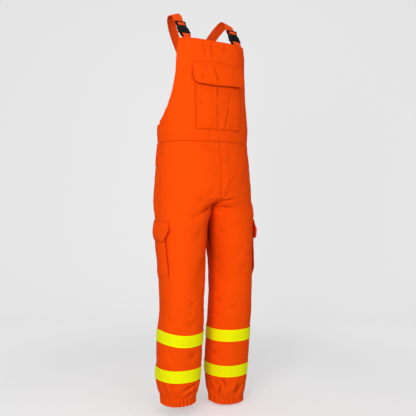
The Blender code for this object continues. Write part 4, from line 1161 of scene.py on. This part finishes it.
def crevice(column, height):
    """Shade in the creases under and above the bib's flap, round its corners, and beside the pocket."""
    flap_foot = line(height - rounded_bottom(column) + 0.0010, 0.0036)
    beside_flap = (np.abs(column) - BIB_FLAP_COLUMNS[1]) * COLUMN
    inside = smooth(1 - beside_flap / 0.002)
    corner_height = rounded_bottom(np.full(column.shape, BIB_FLAP_COLUMNS[1]))
    corner = line(beside_flap - 0.0008, 0.0028) * smooth((height - corner_height + 0.004) / 0.004)
    corner = corner * smooth((BIB_FLAP_HEIGHTS[1] - height) / 0.06)
    outside = np.maximum((np.abs(column) - POCKET_COLUMNS[1]) * COLUMN, BIB_POCKET_HEIGHTS[0] - height)
    pocket_edge = line(outside - 0.0006, 0.0024) * (height < BIB_FLAP_HEIGHTS[0])
    flap_top = line(height - BIB_FLAP_HEIGHTS[1] - 0.0010, 0.0030) * inside
    faint = EDGE_SHADE * np.maximum(pocket_edge, flap_top)
    return np.maximum(np.maximum(UNDER_SHADE * flap_foot * inside, CORNER_SHADE * corner), faint)


print("the bib's flap sags by", FLAP_SAG * 1000, "mm")

# %% Bib panel
HEM_EXTRA = 0.8  # how much thicker the bib's hem is, as a share of the cloth
near_edge = LAST_COLUMN - 0.3
columns = np.concatenate([
    np.linspace(-LAST_COLUMN, -near_edge, 5)[:-1],
    np.linspace(-near_edge, near_edge, 92),
    np.linspace(near_edge, LAST_COLUMN, 5)[1:],
])
heights = np.concatenate([
    [WAIST + 2 * HALF_SEAM, 1.012], np.linspace(1.014, 1.372, 92), np.linspace(1.374, BIB_TOP, 12),
])
column, height = grid_of(columns, heights)
points, normals = bib(column, height)
thickness = CLOTH * (1 + HEM_EXTRA * smooth((height - BIB_TOP + BIB_HEM) / 0.002))
flat = np.stack([column * COLUMN, height], -1)
shade = crevice(column, height)
piece = cloth("bib_front_cloth", (inset(points), normals), flat, twill, thickness, pleat=shade)
stand_for(piece, "bib_front", (0.48, 0.42), 0.152)
print("bib:", column.size, "points")

# %% Bib pocket and its flap
BIB_POCKET_FULLNESS = 0.0012
BIB_FLAP_WAVE, BIB_FLAP_FLARE = 0.0016, 0.0042


def bib_pocket_lift(across, up):
    """The pocket lies nearly flat, a little fuller away from its sewn edges."""
    return LAY + CLOTH + BIB_POCKET_FULLNESS * np.sin(math.pi * across) ** 0.4 * smooth(up / 0.2)


def bib_flap_lift(across, up):
    """The flap lies over the pocket and stands off in soft waves at its foot."""
    wave = BIB_FLAP_WAVE * (1 - up) ** 1.5 * (1 + np.sin(2 * math.pi * (1.5 * across + 0.1)))
    flare = BIB_FLAP_FLARE * (1 - up) ** 2
    return flap_gap(up) + flare + wave + BIB_POCKET_FULLNESS * smooth(3 - 3 * up)


def bib_laid(name, ends, bottom, heights, counts, lift, width, cut, area=None):
    """One finished piece on the bib, from its lower edge up."""
    across, up = grid_of(edge_steps(counts[0], 0.008), edge_steps(counts[1], 0.02))
    column = mix(*ends, across)
    low = bottom(column) if callable(bottom) else bottom
    height = mix(low, heights[1], up)
    roll = rolled(across, up, width, heights[1] - heights[0])
    flat = np.stack([column * COLUMN, height], -1)
    shade = crevice(column, height) if name == "bib_pocket" else 0.0
    piece = cloth(f"{name}_cloth", bib(column, height, lift(across, up) + roll), flat, twill, pleat=shade)
    stand_for(piece, name, cut, area)


bib_laid(
    "bib_pocket", POCKET_COLUMNS, BIB_POCKET_HEIGHTS[0], BIB_POCKET_HEIGHTS, (60, 50), bib_pocket_lift, 0.196,
    (0.205, 0.185),
)
bib_laid(
    "bib_pocket_flap", BIB_FLAP_COLUMNS, rounded_bottom, BIB_FLAP_HEIGHTS, (64, 24), bib_flap_lift, 0.212,
    (0.222, 0.087),
)
print("bib pocket and flap made")

# %% Stitches of the bib
def bib_paths(ends, bottom, top, lift, sides, shrink, count=80):
    """Paths a stitch's margin inside the edges of the bib or of a piece on it."""
    runs = []
    in_column = shrink / COLUMN
    for side in sides:
        column = np.linspace(ends[0] + in_column, ends[1] - in_column, count)
        if side in "lr":
            column = np.full(count, column[0] if side == "l" else column[-1])
        low = (bottom(column) if callable(bottom) else np.full(count, bottom)) + shrink
        height = along_edge(side, low, top - shrink)
        up = (height - low + shrink) / (top - low + shrink)
        across = (column - ends[0]) / (ends[1] - ends[0])
        runs.append(bib(column[None], height[None], (lift(across, up) + RAISED)[None]))
    return runs


def no_lift(across, up):
    return np.zeros(across.shape)


runs = bib_paths(POCKET_COLUMNS, *BIB_POCKET_HEIGHTS, bib_pocket_lift, "lrb", SEWN_IN)
sewn("bib_pocket_stitches", runs, orange_thread)
runs = bib_paths(BIB_FLAP_COLUMNS, rounded_bottom, BIB_FLAP_HEIGHTS[1], bib_flap_lift, "lrbt", SEWN_IN)
runs += bib_paths(BIB_FLAP_COLUMNS, rounded_bottom, BIB_FLAP_HEIGHTS[1], bib_flap_lift, "t", 2 * SEWN_IN)
sewn("bib_flap_stitches", runs, orange_thread)
whole = (-LAST_COLUMN, LAST_COLUMN)
runs = []
for margin in (SEWN_IN, BIB_HEM):
    runs += bib_paths(whole, WAIST, BIB_TOP, no_lift, "bt", margin)
for sign in (-1, 1):
    height = np.linspace(ARMHOLE_FOOT, BIB_TOP - SEWN_IN, 90)
    column = np.full(height.shape, sign * (LAST_COLUMN - SEWN_IN / COLUMN))
    runs.append(bib(column[None], height[None], np.full((1, 90), RAISED)))
sewn("bib_stitches", runs, orange_thread)
print("pieces so far:", len(PIECES))

# %% [markdown]
# ## The back
# The back of the waist is elastic in a casing, drawn into upright gathers between its stitched lines. The
# back panel above it tapers to the place where the two straps meet it. The photograph doesn't show the back,
# so it is the plain kind that such overalls have.
# %% Waistband
BAND_GATHERS, BAND_PUFF, BAND_RIPPLE, BAND_SWEEP, BAND_DIP = 26, 0.0045, 0.0016, 0.16, 0.004
WAISTBAND_SHOWN = (0.56, 0.066)  # its length round the back, drawn in, and its height


def back_turn(share):
    """The turn at a share of the way round the back, from the left side seam to the right one."""
    return np.where(share <= 0.5, 1 + 2 * share, -(3 - 2 * share))


def waistband(across, up):
    """The casing's surface, puffed and gathered, with its top swept up to the armholes at both ends."""
    turn = back_turn(across)
    ends = smooth(across / 0.2) * smooth((1 - across) / 0.2)
    phase = 2 * math.pi * BAND_GATHERS * across + 0.8 * np.sin(2 * math.pi * 3 * across)
    casing = np.abs(np.sin(2 * math.pi * up)) ** 0.5 * 0.6 + 0.4 * np.sin(math.pi * up)
    ripple = BAND_RIPPLE * np.cos(phase) * (0.8 + 0.2 * np.sin(2 * math.pi * 5 * across))
    relief = ends * (np.sin(math.pi * up) * BAND_PUFF + (0.35 + 0.65 * casing) * ripple)
    near_end = np.maximum(1 - np.minimum(across, 1 - across) / BAND_SWEEP, 0)
    top = mix(WAISTBAND_TOP, ARMHOLE_FOOT, near_end**2) - BAND_DIP * line(near_end - 0.5, 0.3)
    relief = relief * smooth(3 * up) + seam_pull(up * (WAISTBAND_TOP - WAIST), np.abs(turn) * WAIST_TURN, 1.0)
    return trunk_surface(turn, mix(WAIST + 2 * HALF_SEAM, top, up), relief)


across, up = grid_of(np.linspace(0, 1, BAND_GATHERS * 9 + 1), np.linspace(0, 1, 21))
points, normals = waistband(across, up)
flat = np.stack([across * WAISTBAND_SHOWN[0], up * WAISTBAND_SHOWN[1]], -1)
piece = cloth("back_waistband_cloth", (inset(points), normals), flat, twill)
stand_for(piece, "back_waistband", (0.60, 0.070), None)
print("gathers in the waistband:", BAND_GATHERS)

# %% Back panel
BACK_FOLDS = (  # metres from the middle, and heights
    (-0.03, 1.33, -0.034, 1.18, 0.015, 0.0016, 0.003), (0.022, 1.3, 0.03, 1.15, 0.016, 0.0016, -0.003),
    (0, 1.38, 0.004, 1.26, 0.012, 0.0012, 0), (-0.07, 1.15, -0.05, 1.08, 0.011, 0.0016, 0),
    (0.072, 1.15, 0.056, 1.08, 0.011, 0.0016, 0), (0, 1.14, 0, 1.078, 0.01, 0.0012, 0),
)


def back_points(column, height):
    """The back panel's form: the trunk's back, narrowed to the panel's edges."""
    half_width = rows_at(BACK_EDGE, height)[0]
    trunk_half, _, depth, roundness = rows_at(TRUNK, height)
    x = half_width * column
    return np.stack([x, depth * (1 - (np.abs(x) / trunk_half) ** roundness) ** (1 / roundness), height], -1)


def back(column, height):
    """The back panel's outer surface, with its folds and the lines sewn along its edges."""
    normal = -normals_of(back_points, column, height)
    across = column * rows_at(BACK_EDGE, height)[0]
    relief = fold_sum(across, height, BACK_FOLDS) + 0.8 * slack(across, height, 5.0)
    relief = relief * smooth((height - WAISTBAND_TOP) / EVEN_AT_SEAM)
    to_edge = (1 - np.abs(column)) * rows_at(BACK_EDGE, height)[0]
    relief = relief + 0.5 * seam_pull(np.abs(to_edge - SEWN_IN), height, 2.0)
    return back_points(column, height) + normal * relief[..., None], normal


heights = np.concatenate([[WAISTBAND_TOP + 2 * HALF_SEAM], np.linspace(1.078, YOKE_TOP, 78)])
column, height = grid_of(np.linspace(1, -1, 46), heights)
points, normals = back(column, height)
flat = np.stack([-column * rows_at(BACK_EDGE, height)[0], height], -1)
piece = cloth("back_panel_cloth", (inset(points), normals), flat, twill)
stand_for(piece, "back_panel", (0.30, 0.32), 0.046)
print("back made")

# %% [markdown]
# ## Straps
# Each strap is flat webbing. A short tab holds the buckle on the bib, and the long strap rises through the
# buckle, goes over the shoulder and runs down to the back panel. A ribbon is swept along a table of places,
# each with the direction that its face looks in.
# %% Where the straps and tabs run
STRAP_WIDTH, TAB_WIDTH = 0.040, 0.030
SHOULDER_COURSE = (  # x, y, height, and the face's direction
    (0.1195, -0.0080, 1.5090, 0.20, -0.55, 0.80), (0.1215, 0.0220, 1.5210, 0.38, 0.00, 0.92),
    (0.1160, 0.0480, 1.5130, 0.42, 0.45, 0.78), (0.0980, 0.0720, 1.4830, 0.30, 0.80, 0.50),
    (0.0730, 0.0860, 1.4400, 0.12, 0.95, 0.28), (0.0480, 0.0930, 1.3950, 0.04, 0.99, 0.12),
    (0.0330, 0.0935, 1.3650, 0.00, 1.00, 0.05),
)
BUCKLE_FOOT = np.array([0.1135, -0.0765, 1.4120])
BUCKLE_HEAD = np.array([0.1180, -0.0330, 1.4790])
BUCKLE_UP = unit(BUCKLE_HEAD - BUCKLE_FOOT)
BUCKLE_OUT = unit(np.cross((1.0, 0.0, 0.0), BUCKLE_UP))
BUCKLE_ACROSS = np.cross(BUCKLE_UP, -BUCKLE_OUT)
BUCKLE_DEPTH, BASE_LENGTH, BODY_LENGTH, BASE_BAR = 0.0080, 0.024, 0.052, 0.0065
WINDOW_HEIGHT, WINDOW_RIM, FOLD_HEIGHT = 0.0100, 0.006, 0.0150


def by_buckle(out, up, facing):
    """A row of a course at a place given in the buckle's own directions."""
    return (*(BUCKLE_FOOT + BUCKLE_OUT * out + BUCKLE_UP * up), *facing)


def behind_bib(rise):
    """A place just behind the bib's hem, this far above its top edge."""
    point = trunk_points(turn_at(BUCKLE_FOOT[0], np.array([BIB_TOP])), np.array([BIB_TOP]))[0]
    return (point[0], point[1] + BEHIND_HEM, BIB_TOP + rise, *BUCKLE_OUT)


BEHIND_HEM = (1 + HEM_EXTRA) * CLOTH + LAY
clear = BUCKLE_DEPTH / 2 + 2 * LAY + WEBBING
behind = BUCKLE_DEPTH / 2 + LAY
body_end = BASE_LENGTH + 2 * HALF_SEAM + BODY_LENGTH
TAB_COURSE = (
    behind_bib(-0.014),
    behind_bib(0.001),
    by_buckle(clear + 0.0010, -0.004, BUCKLE_OUT),
    by_buckle(clear + 0.0005, 0.003, BUCKLE_OUT),
    by_buckle(clear * 0.8, BASE_BAR + 0.0024, BUCKLE_OUT + BUCKLE_UP * 0.8),
    by_buckle(0.0, BASE_BAR + 3 * LAY + WEBBING, BUCKLE_UP),
    by_buckle(-clear * 0.8, BASE_BAR + 0.0024, BUCKLE_UP * 0.8 - BUCKLE_OUT),
    by_buckle(-clear - 0.0005, 0.003, -BUCKLE_OUT),
    by_buckle(-clear - 0.0005, -0.005, -BUCKLE_OUT),
)
STRAP_COURSE = (
    by_buckle(-behind, body_end - WINDOW_RIM - WINDOW_HEIGHT, BUCKLE_OUT),
    by_buckle(-behind, body_end + 0.003, BUCKLE_OUT),
    *SHOULDER_COURSE,
)


print("courses of", len(TAB_COURSE), "and", len(STRAP_COURSE), "places")

# %% Straps and tabs
def course_at(table, share):
    """Places and outward directions at shares of the way along a table, on a smooth curve."""
    table = np.array(table)
    place = share * (len(table) - 1)
    index = np.minimum(place.astype(int), len(table) - 2)
    t = (place - index)[:, None]
    before, low, high, after = (table[np.clip(index + k, 0, len(table) - 1)] for k in (-1, 0, 1, 2))
    value = low * 2 + (high - before) * t + (before * 2 - low * 5 + high * 4 - after) * t**2
    value = (value + (low * 3 - before - high * 3 + after) * t**3) / 2
    return value[:, :3], unit(value[:, 3:])


def ribbon(table, side, width, count, columns=13):
    """Rows across a strap, whose edges curl in by a hair: its surface, its flat places and its length."""
    share = np.linspace(0, 1, count)
    point, out = course_at(table, share)
    ahead = course_at(table, np.minimum(share + 0.004, 1))[0]
    along = unit(ahead - course_at(table, np.maximum(share - 0.004, 0))[0])
    across = unit(np.cross(along, out))
    out = unit(np.cross(across, along))
    where = np.linspace(0.5, -0.5, columns)
    curl = -0.0006 * (2 * np.abs(where)) ** 4
    points = point[:, None] + across[:, None] * width * where[:, None] + out[:, None] * curl[:, None]
    normals = np.broadcast_to(out[:, None], points.shape)
    flip = np.array([side, 1, 1])
    length = np.concatenate([[0], np.cumsum(np.linalg.norm(np.diff(point, axis=0), axis=1))])
    flat = np.stack(np.broadcast_arrays(where * width, length[:, None]), -1)
    return (points[::-1] * flip, normals[::-1] * flip), flat[::-1], length[-1]


RIBBONS = (  # name, course, width, rows, and the rows that are sewn across
    ("strap", STRAP_COURSE, STRAP_WIDTH, 130, (3, 23)),
    ("strap_tab", TAB_COURSE, TAB_WIDTH, 60, (46, 50)),
)
for word, side in SIDES.items():
    for name, table, width, count, sewn_rows in RIBBONS:
        surface, flat, length = ribbon(table, side, width, count)
        piece = cloth(f"{word}_{name}_webbing", surface, flat, webbing, WEBBING, mirrored=side < 0)
        stand_for(piece, f"{word}_{name}", (width, round(length, 3)), None)
        points, normals = surface
        raised = points + normals * RAISED
        runs = [(raised[3:24, k], normals[3:24, 0]) for k in (1, 11)] if name == "strap" else []
        runs += [(raised[k, 1:12], normals[k, 1:12]) for k in sewn_rows]
        sewn(f"{word}_{name}_stitches", runs, orange_thread)
        print(word, name, "is", round(length, 3), "m long")

# %% [markdown]
# ## Buckles
# A side-release buckle has a base, whose prongs click into a body with a slot on each side, and bars that
# grip the strap. The solids already have the two halves. What is added here is what the eye
# looks for: the two prongs that fill the side slots, raised rims, the grip ribs and the strap's turn round
# the upper bar.
# %% Buckle details
def buckle_matrix(side):
    """From the buckle's own directions (across, out, up) to the frame, mirrored for the right side."""
    flip = np.array([side, 1, 1])
    across = BUCKLE_ACROSS * flip * side
    matrix = np.eye(4)
    matrix[:3, 0], matrix[:3, 1], matrix[:3, 2] = across, BUCKLE_OUT * flip, BUCKLE_UP * flip
    matrix[:3, 3] = BUCKLE_FOOT * flip - (0, 0, SHOULDER)
    return Matrix(matrix)


def block(name, size, place, bevel):
    """A rounded block in the buckle's own directions, made in edit mode."""
    bpy.ops.object.select_all(action="DESELECT")
    bpy.ops.mesh.primitive_cube_add(size=1, location=(0, 0, 0))
    piece = bpy.context.active_object
    piece.name = name
    bpy.ops.object.mode_set(mode="EDIT")
    bpy.ops.mesh.select_all(action="SELECT")
    bpy.ops.transform.resize(value=size)
    bpy.ops.mesh.bevel(offset=bevel, segments=2, affect="EDGES")
    bpy.ops.transform.translate(value=place)
    bpy.ops.object.mode_set(mode="OBJECT")
    return piece


def joined(name, blocks, matrix, material):
    """One finished piece from several blocks, placed in the frame."""
    bpy.ops.object.select_all(action="DESELECT")
    for piece in blocks:
        piece.select_set(True)
    bpy.context.view_layer.objects.active = blocks[0]
    bpy.ops.object.join()
    piece = bpy.context.active_object
    piece.name = name
    piece.data.name = name
    piece.data.transform(matrix)
    if matrix.determinant() < 0:
        piece.data.flip_normals()
    piece.data.materials.clear()
    piece.data.materials.append(material)
    piece.data.shade_smooth()
    piece.data.set_sharp_from_angle(angle=math.radians(40))
    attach(piece, "root")
    PIECES[name] = piece
    return piece


face = BUCKLE_DEPTH / 2
body_start = BASE_LENGTH + 2 * HALF_SEAM
proud = face + 0.0003  # how far out the low ribs lie
details = []  # name, size, place across, out and up, and bevel
for hand in (-1, 1):
    details.append(("prong", (0.0060, 0.0062, 0.020), (hand * 0.0215, 0, BASE_LENGTH + 0.012), 0.0012))
    details.append(("ear", (0.0050, 0.0070, 0.009), (hand * 0.0235, 0, BASE_LENGTH - 0.0035), 0.0012))
for k in range(3):
    details.append(("grip", (0.0180, 0.0010, 0.0012), (0, proud, body_start + 0.010 + 0.0032 * k), 0.0004))
details.append(("rim", (0.0290, 0.0010, 0.0014), (0, proud, body_start + 0.0300), 0.0004))
details.append(("rim", (0.0450, 0.0020, 0.0055), (0, face, body_start + BODY_LENGTH - 0.0026), 0.0007))
details.append(("rim", (0.0300, 0.0010, 0.0014), (0, proud, body_start + 0.0030), 0.0004))
for word, side in SIDES.items():
    matrix = buckle_matrix(side)
    blocks = [block(*row) for row in details]
    joined(f"{word}_buckle_details", blocks, matrix, plastic)
    middle = body_start + BODY_LENGTH - WINDOW_RIM - 0.001 - FOLD_HEIGHT / 2
    fold = block("webbing_turn", (0.0300, 0.0030, FOLD_HEIGHT), (0, face - 0.0007, middle), 0.0007)
    joined(f"{word}_buckle_webbing", [fold], matrix, webbing)
    for node_name in (f"{word}_buckle_base", f"{word}_buckle_body"):
        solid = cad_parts[node_name]
        solid.data.materials.clear()
        solid.data.materials.append(plastic)
print("buckles dressed")

# %% [markdown]
# ## Floor, light and finish
# The garment hangs just over a plain pale floor that runs up into a pale wall with no visible corner. Both
# glow a little, more so farther away, which keeps them evenly pale. The light is broad and soft, stronger
# from the left front, so that the folds show without hard shadows.
# %% Floor and backdrop
FLOOR_TONE = 0.80
FLOOR_GLOW, GLOW_NEAR = 0.70, 0.48  # far from the garment the backdrop glows, near it it takes the shadow
FLOOR_NEAR, FLOOR_FAR, FLOOR_REACH = 0.58, 0.42, (1.72, 2.30)
CORNER_START, CORNER_RADIUS = 1.6, 1.2  # where the floor curves up into the wall, behind the garment
floor_height = -SHOULDER - HEM_DROP[1] - HEM_SAG - HEM_SCALLOP - 0.0005
profile = [(-6.0, 0.0), (CORNER_START, 0.0)]
for angle in np.linspace(0.1, math.pi / 2, 16):
    ahead = CORNER_START + CORNER_RADIUS * math.sin(angle)
    profile.append((ahead, CORNER_RADIUS - CORNER_RADIUS * math.cos(angle)))
profile.append((CORNER_START + CORNER_RADIUS, 6.0))
backdrop_mesh = bpy.data.meshes.new("backdrop")
corners = []
for across in (-7.0, 7.0):
    for ahead, rise in profile:
        place = -backwards * ahead + sideways * across
        corners.append((place.x, place.y, floor_height + rise))
count = len(profile)
backdrop_mesh.from_pydata(corners, [], [(i, i + 1, count + i + 1, count + i) for i in range(count - 1)])
backdrop = bpy.data.objects.new("backdrop", backdrop_mesh)
bpy.context.scene.collection.objects.link(backdrop)
backdrop_mesh.shade_smooth()
backdrop.visible_diffuse = False  # so that the pale wall behind doesn't wash the folds out
pale, tree, shader = blank("pale_floor", (FLOOR_NEAR, FLOOR_NEAR, FLOOR_NEAR), 0.9)
shader.inputs["Emission Color"].default_value = (FLOOR_TONE, FLOOR_TONE, FLOOR_TONE * 1.01, 1)
place = node(tree, "TexCoord").outputs["Object"]
away = node(tree, "VectorMath", {0: place}, operation="LENGTH").outputs["Value"]
share = {"Value": away, "From Min": FLOOR_REACH[0], "From Max": FLOOR_REACH[1]}
for low, high, socket in (
    (GLOW_NEAR, FLOOR_GLOW, "Emission Strength"),
    (FLOOR_NEAR, FLOOR_FAR, "Base Color"),
):
    ramp = node(tree, "MapRange", {**share, "To Min": low, "To Max": high}, interpolation_type="SMOOTHSTEP")
    tree.links.new(ramp.outputs["Result"], shader.inputs[socket])
shader.inputs["Specular IOR Level"].default_value = 0.0
backdrop_mesh.materials.append(pale)
backdrop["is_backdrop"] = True
print("floor at", round(floor_height, 3))

# %% Light
world = bpy.data.worlds.new("studio")
bpy.context.scene.world = world
world.use_nodes = True
world.node_tree.nodes["Background"].inputs["Color"].default_value = (1, 1, 1, 1)
world.node_tree.nodes["Background"].inputs["Strength"].default_value = 0.36


def softbox(name, ahead, across, rise, size, power):
    """A square light this far in front of, beside and above the garment's middle, aimed at it."""
    lamp = bpy.data.objects.new(name, bpy.data.lights.new(name, "AREA"))
    lamp.data.size, lamp.data.energy = size, power
    bpy.context.scene.collection.objects.link(lamp)
    lamp.location = backwards * ahead + sideways * across + Vector((0, 0, rise - SHOULDER))
    aim = Vector((0, 0, 0.8 - SHOULDER)) - lamp.location
    lamp.rotation_euler = aim.to_track_quat("-Z", "Y").to_euler()


softbox("key", 2.6, -0.9, 1.05, 1.1, 45)
softbox("fill", 2.6, 1.8, 0.8, 1.8, 22)
softbox("top", 0.2, 0.0, 2.8, 1.6, 13)

# %% Measure and finish
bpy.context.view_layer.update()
triangles = {}
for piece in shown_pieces():
    piece.data.calc_loop_triangles()
    triangles[piece.name] = len(piece.data.loop_triangles)
largest = max(triangles, key=triangles.get)
print("triangles:", sum(triangles.values()), "most:", largest, triangles[largest])
